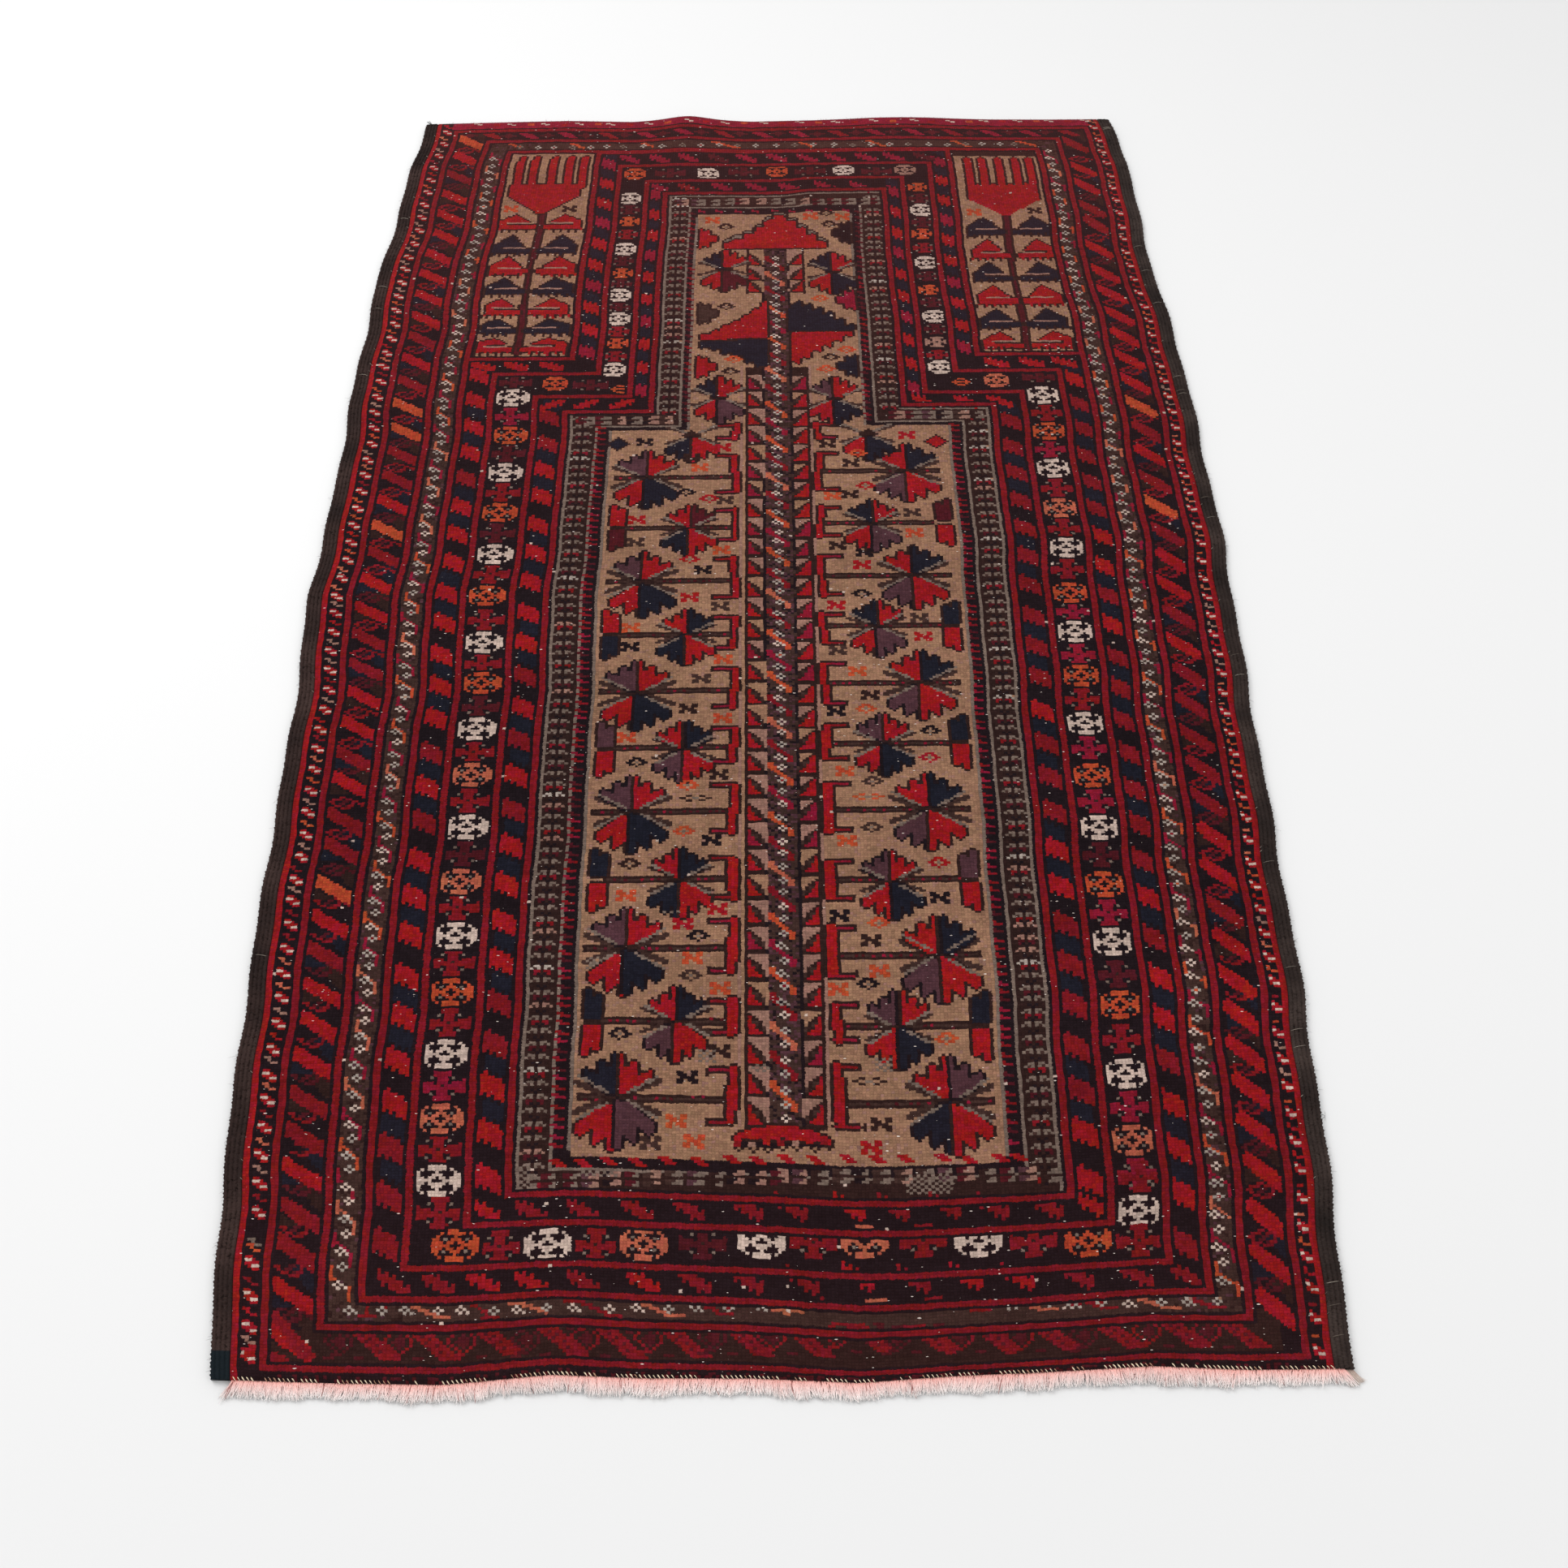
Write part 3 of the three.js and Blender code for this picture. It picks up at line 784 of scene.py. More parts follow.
def halfFlower(x, y, side, top, low):
    # the half palmettes that grow from the edge of the field, toothed at their ends
    for direction, ink in [(1, top), (-1, low)]:
        knotPolygon([(x, y + direction * 2), (x, y + direction * 27),
                     (x - side * 4, y + direction * 33), (x - side * 7, y + direction * 24),
                     (x - side * 15, y + direction * 27), (x - side * 16, y + direction * 2)],
                    ink, darkBrown)


for y, top, low in [(283, navy, red), (417, navy, red), (553, aubergine, red), (686, red, navy),
                    (822, red, maroon)]:
    halfFlower(onRug(-168, y) + 3, y, -1, top, low)
for y, top, low in [(275, navy, red), (413, aubergine, red), (558, navy, red), (694, navy, red),
                    (826, maroon, red)]:
    halfFlower(onRug(186.5, y) - 3, y, 1, top, low)
palmette(-84, 950, (None, None, navy, red), 0.82)
palmette(103, 950, (None, None, red, navy), 0.82)
for x, ink in [(-163, navy), (177, red)]:
    knotShape(x, 938, 9, 9, lambda dx, dy: np.abs(dx) + np.abs(dy) < 9, ink, darkBrown)

# Small fillers scattered over the camel field
crossFiller = ["XX..XX", "XXX.XX", ".XXXX.", "XX.XXX", "XX..XX"]
diamondFiller = ["..XXX..", ".XX.XX.", "XX.g.XX", ".XX.XX.", "...X..."]
wideFiller = ["..XX..XX..", "XX..gg..XX", "..XX..XX.."]
darkCrosses = [
    (-134, 940), (-83, 918), (-46, 857), (-136, 802), (-68, 766), (-50, 720), (-137, 673),
    (-67, 633), (-78, 598), (-48, 526), (-55, 457), (-45, 256), (-72, 232), (-100, 179), (62, 936),
    (86, 908), (84, 866), (146, 839), (67, 796), (95, 786), (146, 705), (64, 665), (94, 612),
    (62, 593), (147, 397), (59, 380), (83, 356), (85, 190)]
warmCrosses = [
    (-50, 932), (-72, 904), (-137, 833), (-51, 792), (-80, 732), (-138, 695), (-48, 657),
    (-47, 587), (-136, 567), (-129, 401), (-48, 387), (-79, 373), (-71, 340), (-47, 313),
    (-80, 197), (145, 948), (64, 862), (148, 811), (92, 770), (66, 720), (148, 682), (82, 640),
    (68, 527), (67, 453), (91, 326), (56, 310), (-66, 180), (78, 172)]
darkDiamonds = [(-88, 870), (-128, 538), (-130, 433), (-68, 361), (-72, 325), (-130, 271),
                (90, 733), (148, 570), (92, 516), (88, 467), (80, 313)]
warmDiamonds = [(-66, 861), (-82, 780), (-79, 514), (-82, 466), (93, 922), (97, 877), (88, 595),
                (146, 541), (146, 430), (91, 371), (142, 264)]
for places, lines, inks in [(darkCrosses, crossFiller, (darkBrown, navyBlack, midBrown)),
                            (warmCrosses, crossFiller, (orange, red, orange)),
                            (darkDiamonds, diamondFiller, (darkBrown, navyBlack, midBrown)),
                            (warmDiamonds, diamondFiller, (orange, red, orange)),
                            ([(-70, 500), (78, 227)], wideFiller, (darkBrown,)),
                            ([(88, 500)], wideFiller, (orange,))]:
    for x, y in places:
        knotStamp(x, y, lines, {"X": dice.choice(inks), "g": greyBeige})

# Motifs in the head of the field
headTriangle = [(-53, 1246), (-53, 1254), (-45, 1256), (-41, 1262), (-30, 1262), (-28, 1270),
                (-17, 1271), (-14, 1281), (-5, 1283), (-3, 1294), (6, 1296), (8, 1302), (20, 1302),
                (22, 1290), (33, 1291), (35, 1277), (44, 1280), (46, 1266), (56, 1268),
                (58, 1256), (68, 1256), (70, 1246)]
knotPolygon([(x, y + 6) if y > 1250 else (x, y) for x, y in headTriangle], greyBeige, darkBrown)
knotPolygon(headTriangle, red, darkBrown)
bigDiamond = [
    (red, [(-5, 1097), (-77, 1094), (-77, 1103), (-70, 1102), (-62, 1110), (-60, 1106),
           (-51, 1119), (-49, 1114), (-39, 1127), (-37, 1122), (-27, 1136), (-25, 1131),
           (-16, 1147), (-14, 1142), (-7, 1156), (-5, 1155)]),
    (navy, [(-5, 1094), (-77, 1091), (-77, 1081), (-67, 1083), (-66, 1077), (-56, 1080),
            (-54, 1070), (-43, 1074), (-41, 1066), (-30, 1070), (-28, 1057), (-18, 1061),
            (-16, 1050), (-5, 1053)]),
    (navy, [(21, 1108), (95, 1108), (95, 1118), (84, 1114), (83, 1128), (72, 1124), (71, 1139),
            (60, 1134), (58, 1146), (48, 1141), (46, 1152), (37, 1147), (34, 1157), (24, 1150),
            (21, 1143)]),
    (red, [(23, 1104), (94, 1104), (93, 1096), (83, 1100), (81, 1087), (71, 1092), (69, 1079),
           (59, 1084), (57, 1071), (47, 1076), (45, 1061), (35, 1066), (33, 1051), (23, 1060)]),
]
for ink, corners in bigDiamond:
    knotPolygon(corners, ink, darkBrown)
for x, y, inks in [(-52, 1210, (navy, red, red, maroon)), (73, 1205, (navy, red, red, navy)),
                   (-56, 1005, (navy, red, red, aubergine)),
                   (70, 1003, (aubergine, red, red, navy))]:
    palmette(x, y, inks, 0.84)
for x, y, side, ink in [(-80, 1262, -1, red), (95, 1270, 1, navyBlack), (-80, 1136, -1, midBrown),
                        (96, 1155, 1, cherry), (-80, 1050, -1, red), (96, 1050, 1, navy)]:
    knotPolygon([(x, y + 20), (x - side * 5, y + 12), (x - side * 11, y + 16),
                 (x - side * 12, y + 6), (x - side * 19, y + 8), (x - side * 19, y - 6),
                 (x - side * 12, y - 4), (x - side * 10, y - 15), (x - side * 5, y - 10),
                 (x, y - 18)], ink, darkBrown)
for x, y in [(-50, 1284), (70, 1286), (67, 1306), (-48, 1147), (-42, 1045), (68, 1064)]:
    knotStamp(x, y, diamondFiller, {"X": darkBrown, "g": greyBeige})
for x, y in [(-65, 1294), (50, 1301), (88, 1299), (58, 1160), (-40, 1062), (85, 1076), (60, 1047)]:
    knotStamp(x, y, diamondFiller if y < 1200 else crossFiller, {"X": orange, "g": orange})


def handPanel(panel):
    # a camel panel with a stem, toothed leaves up it and an open five-fingered palm on top
    left, right, low, high = panel["frame"]
    inPanel = (gridX > left) & (gridX < right) & (gridY > low) & (gridY < high)
    knots[spread(inPanel)] = darkBrown
    knots[inPanel] = np.where(scatter < 0.1, pinkBeige, camel)[inPanel]
    (footX, footY), (neckX, neckY) = panel["stem"]
    knotLine(footX, footY, neckX, neckY, 5, maroon, darkBrown, bent=True)
    for number, (baseLow, baseHigh, peak) in enumerate(panel["leaves"]):
        ink = red if number % 2 == 0 else navy
        share = (baseLow - footY) / (neckY - footY)
        stemX = footX + (neckX - footX) * share
        for direction, tip in [(-1, panel["leafLeft"]), (1, panel["leafRight"])]:
            inner, outer = stemX + direction * 4, tip + share * panel["lean"]
            wide = outer - inner
            hook = inner + 0.2 * wide
            slit = baseHigh + 1.5
            points = [(inner, baseLow + 1), (outer, baseLow), (outer, slit + 6),
                      (inner + wide * 0.56, peak), (hook, slit + 3.4), (hook, slit + 2.4),
                      (inner + wide * 0.78, slit + 2.4), (inner + wide * 0.78, slit - 0.6),
                      (inner, slit - 0.6)]
            knotPolygon(points, ink, darkBrown)
            knotLine(hook, slit + 1, inner + wide * 0.76, slit + 1, 2.2, pinkBeige)
            for tooth in range(5):
                x = inner + wide * (tooth + 0.6) / 5
                knotPolygon([(x, baseLow + 1), (x + wide * 0.13, baseLow + 1),
                             (x + wide * 0.13, baseLow - 5)], ink, None)
                knotLine(x + wide * 0.15, baseLow - 1, x + wide * 0.15, baseLow - 4, 1.8, darkBrown)
    knotPolygon(panel["palm"], red, darkBrown, bent=True)
    top = max(y for _, y in panel["palm"])
    for x in panel["fingers"]:
        knotLine(x, top - 4, x * panel["fan"], high - 7, 7.2, red, darkBrown, bent=True)
    knotPolygon([(x, y - 1) for x, y in panel["palm"]], red, bent=True)


handPanel({
    "frame": (-329, -224, 1071, 1420), "stem": ((-282, 1073), (-270, 1308)),
    "leaves": [(1077, 1084, 1098), (1106, 1113, 1129), (1136, 1144, 1163), (1171, 1177, 1196),
               (1204, 1212, 1233), (1240, 1246, 1271), (1282, 1289, 1307)],
    "leafLeft": -326, "leafRight": -229, "lean": 7,
    "palm": [(-311, 1362), (-311, 1341), (-275, 1310), (-267, 1310), (-226, 1341), (-226, 1362)],
    "fingers": [-304, -286, -263, -245, -228], "fan": 0.985})
handPanel({
    "frame": (236, 341, 1072, 1411), "stem": ((286, 1074), (282, 1302)),
    "leaves": [(1078, 1085, 1103), (1111, 1118, 1140), (1148, 1156, 1179), (1188, 1195, 1218),
               (1225, 1233, 1257), (1267, 1274, 1295)],
    "leafLeft": 240, "leafRight": 336, "lean": -4,
    "palm": [(241, 1358), (241, 1330), (278, 1303), (288, 1303), (325, 1329), (325, 1358)],
    "fingers": [245, 262, 283, 301, 319], "fan": 0.995})
for x, y, ink in [(-306, 1318, orange), (-237, 1317, darkBrown), (246, 1306, orange),
                  (317, 1308, darkBrown)]:
    knotStamp(x, y, crossFiller, {"X": ink})

redLines()

# Far end band: white pairs with orange and red between
farPairs = [-360, -317, -275, -233, -195, -148, -98, -52, -5, 40, 87, 133, 183, 230, 272, 313,
            352, 398]
for number, x in enumerate(farPairs):
    knotStamp(x, 1477, ["WW..", "..WW"], {"W": ivory})
    knotStamp(x + 22, 1476, ["OOO", "OOO"], {"O": orange if number % 2 else red})

# Wear: single knots gone down to the pale warp, and small bare patches
knots[(dice.random(knots.shape) < 0.0005) & (gridY > 20)] = ivory
wornSpots = [(-145, 155, 15, 3), (-200, 151, 4, 8), (119, 142, 20, 8), (88, 243, 8, 5),
             (-57, 252, 8, 5), (-155, 338, 6, 4), (-13, 240, 6, 3), (-90, 385, 9, 2)]
for x, y, wide, tall in wornSpots:
    knotShape(x, y, wide, tall, lambda dx, dy: (np.abs(dx) < wide) & (np.abs(dy) < tall)
              & ((np.round(dx / knotWidth) + np.round(dy / knotLength)).astype(int) % 2 == 0),
              greyBeige)
print("rug: chart of", knots.size, "knots drawn")

# The pile is one closed sheet
pileShape = {
    "corrodedDrop": 0.55,     # dark brown wool wears shorter than the red
    "unevenness": 0.22,       # height of single tufts
    "sideways": 0.5,          # how far the knots stray from an even lattice
}
pileLook = {
    "knotShade": 0.4,         # how much the shade varies from knot to knot
    "lotShade": 0.5,          # and from one dye lot to the next
    "rowShade": 0.44,         # and along the rows
    "napShade": 0.9,          # and from yarn end to yarn end
    "mottleShade": 0.6,       # and between patches of wool
    "mottleHue": 0.014,
    "knotHue": 0.009,
    # painted light: the pale red that the far end of the pile is mixed with
    "farLightColour": "#a2544a",
    "speckColour": "#e4d6cc",
    "speckLimit": 0.941,      # higher gives fewer specks
}
quadsAcross = chartSize["columns"] // 2
quadsAlong = chartSize["rows"] // 2


def latticePlace(columnMm, rowMm):
    # chart position to the place on the laid rug, following its edges and its sagging rows
    side = np.where(columnMm < 0, -1, 1)
    reach = np.where(side < 0, -innerEdge(rowMm, -1), innerEdge(rowMm, 1))
    across = columnMm / (chartSize["width"] / 2) * reach
    return across, wovenY(across, rowMm) + rowDrift(across, rowMm)


columnMm, rowMm = np.meshgrid(
    np.linspace(-chartHalf, chartHalf, quadsAcross + 1),
    np.linspace(0, chartSize["length"], quadsAlong + 1))
pileX, pileY = latticePlace(columnMm, rowMm)
edgeDistance = np.minimum.reduce([
    chartHalf - np.abs(columnMm), rowMm, chartSize["length"] - rowMm])
# The pile rises from its rim with the square root of the distance to the edge
rim = np.sqrt(np.clip(edgeDistance / cloth["rimInset"], 0, 1))
lift = rippleLift(pileX, rowMm)
corroded = np.isin(knots, [navyBlack, darkBrown, midBrown, greyBeige]).astype(float)
corners = np.pad(corroded, ((1, 1), (1, 1)), mode="edge")
blockMean = (corners[:-1:2, :-1:2] + corners[1::2, :-1:2] + corners[:-1:2, 1::2]
             + corners[1::2, 1::2]) / 4
uneven = dice.normal(0, 1, pileX.shape) * pileShape["unevenness"]
height = cloth["rimHeight"] + (pileTop(pileX, rowMm) - 0.3 - cloth["rimHeight"]) * rim
topZ = lift + height + (uneven - pileShape["corrodedDrop"] * blockMean) * rim
loose = (edgeDistance > 1) * pileShape["sideways"]
straysX = dice.uniform(-1, 1, pileX.shape) * loose
straysY = dice.uniform(-1, 1, pileX.shape) * loose
topPoints = np.stack([pileX + straysX, pileY + straysY, topZ], -1).reshape(-1, 3)
underPoints = np.stack([pileX, pileY, lift], -1).reshape(-1, 3)

index = np.arange((quadsAlong + 1) * (quadsAcross + 1)).reshape(quadsAlong + 1, quadsAcross + 1)
offset = index.size
a, b = index[:-1, :-1].ravel(), index[:-1, 1:].ravel()
c, d = index[1:, 1:].ravel(), index[1:, :-1].ravel()
topFaces = np.stack([a, b, c, d], 1)
underFaces = np.stack([d, c, b, a], 1) + offset


def wallFaces(edge):
    # walls from the rim of the top down to the rim of the underside
    start, end = edge[:-1], edge[1:]
    return np.stack([end, start, start + offset, end + offset], 1)


walls = np.concatenate([wallFaces(index[0, :]), wallFaces(index[::-1, 0]),
                        wallFaces(index[:, -1]), wallFaces(index[-1, ::-1])])

packed = (knots[0::2, 0::2] + 16 * knots[0::2, 1::2] + 256 * knots[1::2, 0::2]
          + 4096 * knots[1::2, 1::2]).astype(np.float32)
topUv = np.stack(np.meshgrid(np.arange(quadsAcross + 1) * 2.0, np.arange(quadsAlong + 1) * 2.0),
                 -1).reshape(-1, 2)


def pileUv():
    # one unit of the map is one knot, so the material can tell the knots of a face apart; the
    # walls take the middle of the outermost knots
    wallUv = np.clip(topUv[walls % offset], 0.5,
                     [chartSize["columns"] - 0.5, chartSize["rows"] - 0.5])
    return np.concatenate([topUv[topFaces], topUv[underFaces - offset], wallUv])


def wallInks():
    # a wall takes the packed inks of the top face that it hangs from
    columns, rows = (topUv[walls % offset].mean(1) // 2).astype(int).T
    return packed[np.clip(rows, 0, quadsAlong - 1), np.clip(columns, 0, quadsAcross - 1)]


def knottedPile(name, crownShare, napShare, bumpHeight):
    # Knotted wool: the tuft ends stand up as a matt, uneven nap of dyed yarn, each knot its own
    # shade, with a soft sheen; on the back the same knots show as flat, ribbed bumps.
    material, add = newMaterial(name)
    split = add("SeparateXYZ", [add("UVMap", uv_map="knots")]).node.outputs
    place = add("TexCoord", output="Object")
    along = add("SeparateXYZ", [place], 1)
    # tufts lean into each other, so the line between the two knots of a face wavers
    waver = add("TexNoise", {"Vector": place, "Scale": 520.0, "Detail": 3.0, "Roughness": 0.7})
    waverSplit = add("SeparateXYZ", [waver.node.outputs["Color"]]).node.outputs
    second, cells, fromMiddle = [], [], []
    for axis in (0, 1):
        # a little under a half, so that the far line of the last face stays in that face
        face = add("Math", [split[axis], 0.49999], operation="MULTIPLY")
        face = add("Math", [face], operation="FLOOR")
        face = add("Math", [face, 2.0], operation="MULTIPLY")
        inFace = add("Math", [split[axis], face], operation="SUBTRACT")
        lean = add("Math", [waverSplit[axis], 1.5, -0.75], operation="MULTIPLY_ADD")
        moved = add("Math", [inFace, lean], operation="ADD")
        second.append(add("Math", [moved, 1.0], operation="GREATER_THAN"))
        cells.append(add("Math", [face, second[axis]], operation="ADD"))
        inKnot = add("Math", [split[axis]], operation="FRACT")
        inKnot = add("Math", [inKnot, 0.5], operation="SUBTRACT")
        fromMiddle.append(add("Math", [inKnot], operation="ABSOLUTE"))
    # a face's number packs its four inks, sixteen apart: divided by the power of the knot's place
    # among the four, its remainder by sixteen is the knot's ink
    knotInFace = add("Math", [second[1], 2.0, second[0]], operation="MULTIPLY_ADD")
    power = add("Math", [16.0, knotInFace], operation="POWER")
    inks = add("Attribute", output="Fac", attribute_name="knotInks")
    inks = add("Math", [inks, power], operation="DIVIDE")
    inks = add("Math", [inks, 0.002], operation="ADD")
    inks = add("Math", [inks], operation="FLOOR")
    ink = add("Math", [inks, 16.0], operation="MODULO")
    ink = add("Math", [ink, 0.5], operation="ADD")
    dyed = add("ValToRGB", [add("Math", [ink, 16.0], operation="DIVIDE")])
    dyed.node.color_ramp.interpolation = "CONSTANT"
    stops = dyed.node.color_ramp.elements
    while len(stops) < len(woolColours):
        stops.new(0.5)
    for number, colour in enumerate(woolColours.values()):
        stops[number].position = number / 16
        stops[number].color = linear(colour)

    cell = add("CombineXYZ", cells)
    chance = add("TexWhiteNoise", [cell], noise_dimensions="2D")
    # bands of a slightly different dye lot, 60 to 200 mm deep
    lots = add("Mapping", {"Vector": place, "Scale": (1.2, 9.0, 1.0)})
    lots = add("TexNoise", {"Vector": lots, "Scale": 1.0, "Detail": 3.0})
    # short lighter and darker lines across the rows, about 60 mm long and 3 mm deep
    rowLines = add("Mapping", {"Vector": place, "Scale": (16.0, 330.0, 1.0)})
    rowLines = add("TexNoise", {"Vector": rowLines, "Scale": 1.0, "Detail": 2.0})
    # yarn ends half a millimetre apart, drawn a little coarser so that they show
    nap = add("TexNoise", {"Vector": place, "Scale": 900.0, "Detail": 2.0, "Roughness": 0.65})
    # patches of yellower and pinker wool, 15 to 40 mm wide
    mottle = add("TexNoise", {"Vector": place, "Scale": 38.0, "Detail": 3.0, "Roughness": 0.6})
    shade = 1.0
    for source, amount in [(chance, pileLook["knotShade"]), (lots, pileLook["lotShade"]),
                           (rowLines, pileLook["rowShade"]), (nap, pileLook["napShade"]),
                           (mottle, pileLook["mottleShade"])]:
        part = add("Math", [source, amount, 1 - amount / 2], operation="MULTIPLY_ADD")
        shade = add("Math", [shade, part], operation="MULTIPLY")
    hue = 0.5
    for source, amount in [(mottle, pileLook["mottleHue"]), (chance, pileLook["knotHue"])]:
        green = add("SeparateXYZ", [source.node.outputs["Color"]], 1)
        part = add("Math", [green, amount, -amount / 2], operation="MULTIPLY_ADD")
        hue = add("Math", [hue, part], operation="ADD")
    wool = add("HueSaturation", {"Color": dyed, "Value": shade, "Hue": hue})
    # painted light: towards the far end, with the square of the distance, the wool is mixed more
    # and more with a pale red, so that the far end looks lit paler
    farther = add("Math", [along, 0.078, 0.034], operation="MULTIPLY_ADD")
    farLightShare = add("Math", [along, farther, 0.005], operation="MULTIPLY_ADD")
    wool = add("Mix", {"Factor": farLightShare, "A": wool, "B": linear(pileLook["farLightColour"])}, "Result",
               data_type="RGBA")
    # pale ends of the warp show as specks where a tuft is gone, more where the wear is high
    specks = add("Mapping", {"Vector": place, "Scale": (220.0, 680.0, 1.0)})
    specks = add("TexNoise", {"Vector": specks, "Scale": 1.0, "Detail": 0.0})
    wear = add("TexNoise", {"Vector": place, "Scale": 16.0, "Detail": 2.0})
    bare = add("Math", [wear, 0.2, specks], operation="MULTIPLY_ADD")
    bare = add("Math", [bare, pileLook["speckLimit"]], operation="GREATER_THAN")
    bare = add("Math", [bare, 0.85], operation="MULTIPLY")
    wool = add("Mix", {"Factor": bare, "A": wool, "B": linear(pileLook["speckColour"])}, "Result",
               data_type="RGBA")
    # painted shade between the tufts, from the same crown that makes the bumps: a knot's crown
    # falls with the cube of the distance to its middle, and the colour is darkened towards its
    # edges
    crown = add("Math", [fromMiddle[0], fromMiddle[1]], operation="MAXIMUM")
    crown = add("Math", [crown, 2.0], operation="MULTIPLY")
    crown = add("Math", [crown, 3.0], operation="POWER")
    crown = add("Math", [1.0, crown], operation="SUBTRACT")
    lit = add("Math", [crown, 0.35, 0.65], operation="MULTIPLY_ADD")
    dark = add("HueSaturation", {"Color": wool, "Value": 0.45})
    wool = add("Mix", {"Factor": lit, "A": dark, "B": wool}, "Result", data_type="RGBA")
    relief = add("Math", [nap, napShare], operation="MULTIPLY")
    relief = add("Math", [crown, crownShare, relief], operation="MULTIPLY_ADD")
    bump = add("Bump", {"Height": relief, "Strength": 0.6, "Distance": bumpHeight})
    shader = add("BsdfPrincipled", {
        "Base Color": wool, "Normal": bump, "Roughness": 0.92, "IOR": 1.45,
        "Specular IOR Level": 0.05, "Sheen Weight": 0.015, "Sheen Roughness": 0.5})
    add("OutputMaterial", {"Surface": shader})
    return material


pile = meshPiece("rug_pile", np.concatenate([topPoints, underPoints]),
                 np.concatenate([topFaces, underFaces, walls]),
                 [knottedPile("knotted_wool_pile", 0.5, 0.9, 0.0011),
                  knottedPile("knotted_wool_back", 1.0, 0.25, 0.0006)])
addMap(pile, "knots", pileUv())
inkLayer = pile.data.attributes.new("knotInks", "FLOAT", "FACE")
inkLayer.data.foreach_set("value", np.concatenate([packed.ravel(), packed.ravel(), wallInks()]))
slots = np.zeros(len(pile.data.polygons), np.int32)
slots[len(topFaces):len(topFaces) + len(underFaces)] = 1
pile.data.polygons.foreach_set("material_index", slots)
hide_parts("rug_body")
print("rug: pile made,", len(pile.data.polygons), "faces")

# Selvedges of wrapped cords
selvedge = {
    "cords": 4,
    "step": 1.5,            # stations along the edge, half the pitch of a wrap
    "ridge": 0.28,          # height of one wrap of yarn
    "boundEnd": 21.0,       # length of the dark blue-green binding at the near left corner
    "boundColour": "#10191e",
}
cordOutline = [(0.12, 4.65), (0.3, 5.05), (0.5, 5.2), (0.7, 5.05), (0.88, 4.7), (1.0, 4.15)]


def wrappedHair(name, colours, boundEnd):
    # Goat hair wrapped tightly round cords: dark, nearly matt, brown-black fibre with paler hairs;
    # the map is millimetres across and along, and the yarn lies across the cords.
    material, add = newMaterial(name)
    uv = add("UVMap", uv_map="wrap")
    stretched = add("Mapping", {"Vector": uv, "Scale": (0.35, 1.7, 1.0)})
    threads = add("TexNoise", {"Vector": stretched, "Scale": 1.0, "Detail": 3.0, "Roughness": 0.7})
    patches = add("TexNoise", {"Vector": add("TexCoord", output="Object"), "Scale": 22.0,
                               "Detail": 2.0})
    mixed = add("Math", [threads, patches], operation="ADD")
    hair = add("ValToRGB", [add("Math", [mixed, 0.5], operation="MULTIPLY")])
    stops = hair.node.color_ramp.elements
    stops[0].position, stops[0].color = 0.36, linear(colours[0])
    stops[1].position, stops[1].color = 0.66, linear(colours[2])
    stops.new(0.5).color = linear(colours[1])
    bound = add("Math", [add("SeparateXYZ", [uv], 1), boundEnd], operation="LESS_THAN")
    coat = add("Mix", {"Factor": bound, "A": hair, "B": linear(selvedge["boundColour"])}, "Result",
               data_type="RGBA")
    bump = add("Bump", {"Height": threads, "Strength": 0.8, "Distance": 0.0006})
    shader = add("BsdfPrincipled", {"Base Color": coat, "Normal": bump, "Roughness": 0.8,
                                    "Specular IOR Level": 0.15})
    add("OutputMaterial", {"Surface": shader})
    return material


def selvedgePiece(name, side, material):
    # four round cords side by side, every second station raised by the wrap of yarn
    cordWidth = cloth["selvedgeWidth"] / selvedge["cords"]
    section = [(0.0, 0.0), (0.0, 2.0), (0.5, 3.7)]
    for cord in range(selvedge["cords"]):
        section += [((cord + share) * cordWidth, top) for share, top in cordOutline]
    section += [(cloth["selvedgeWidth"], 0.0)]
    inwards, top = np.array(section).T
    along = np.arange(0, cloth["length"] + 0.1, selvedge["step"])
    across = outerEdge(along, side)[:, None] - side * inwards[None, :]
    cordNumber = np.clip((inwards / cordWidth).astype(int), 0, selvedge["cords"] - 1)
    wrap = np.cos(np.pi * (along[:, None] / selvedge["step"]) + np.pi * cordNumber[None, :])
    swell = np.sin(2 * np.pi * along / 7.6 + side)[:, None] * 0.25
    loose = dice.normal(0, 0.12, across.shape)
    raised = (top[None, :] > 1) * 1.0
    height = top[None, :] + raised * (selvedge["ridge"] * wrap + swell + loose)
    across = across + side * (inwards[None, :] < 1) * (0.35 * wrap + swell)
    y = wovenY(across, along[:, None])
    height = height + rippleLift(across, along[:, None])
    points = np.stack([across, y, np.maximum(height, 0)], -1)
    rows, columns = points.shape[:2]
    grid = np.arange(rows * columns).reshape(rows, columns)
    around = np.roll(grid, -1, axis=1)
    faces = np.stack([grid[:-1], around[:-1], around[1:], grid[1:]], -1).reshape(-1, 4)
    ends = []
    for row, turn in ((0, 1), (rows - 1, -1)):
        for low in range(columns // 2 - 1):
            high = columns - 1 - low
            ends.append([grid[row, low], grid[row, high], grid[row, high - 1],
                         grid[row, low + 1]][::turn])
    faces = np.concatenate([faces, np.array(ends)])
    if side > 0:
        faces = faces[:, ::-1]
    piece = meshPiece(name, points.reshape(-1, 3), faces, [material])
    wrapUv = np.stack(np.broadcast_arrays(inwards[None, :], along[:, None]), -1).reshape(-1, 2)
    addMap(piece, "wrap", wrapUv[faces])
    return piece


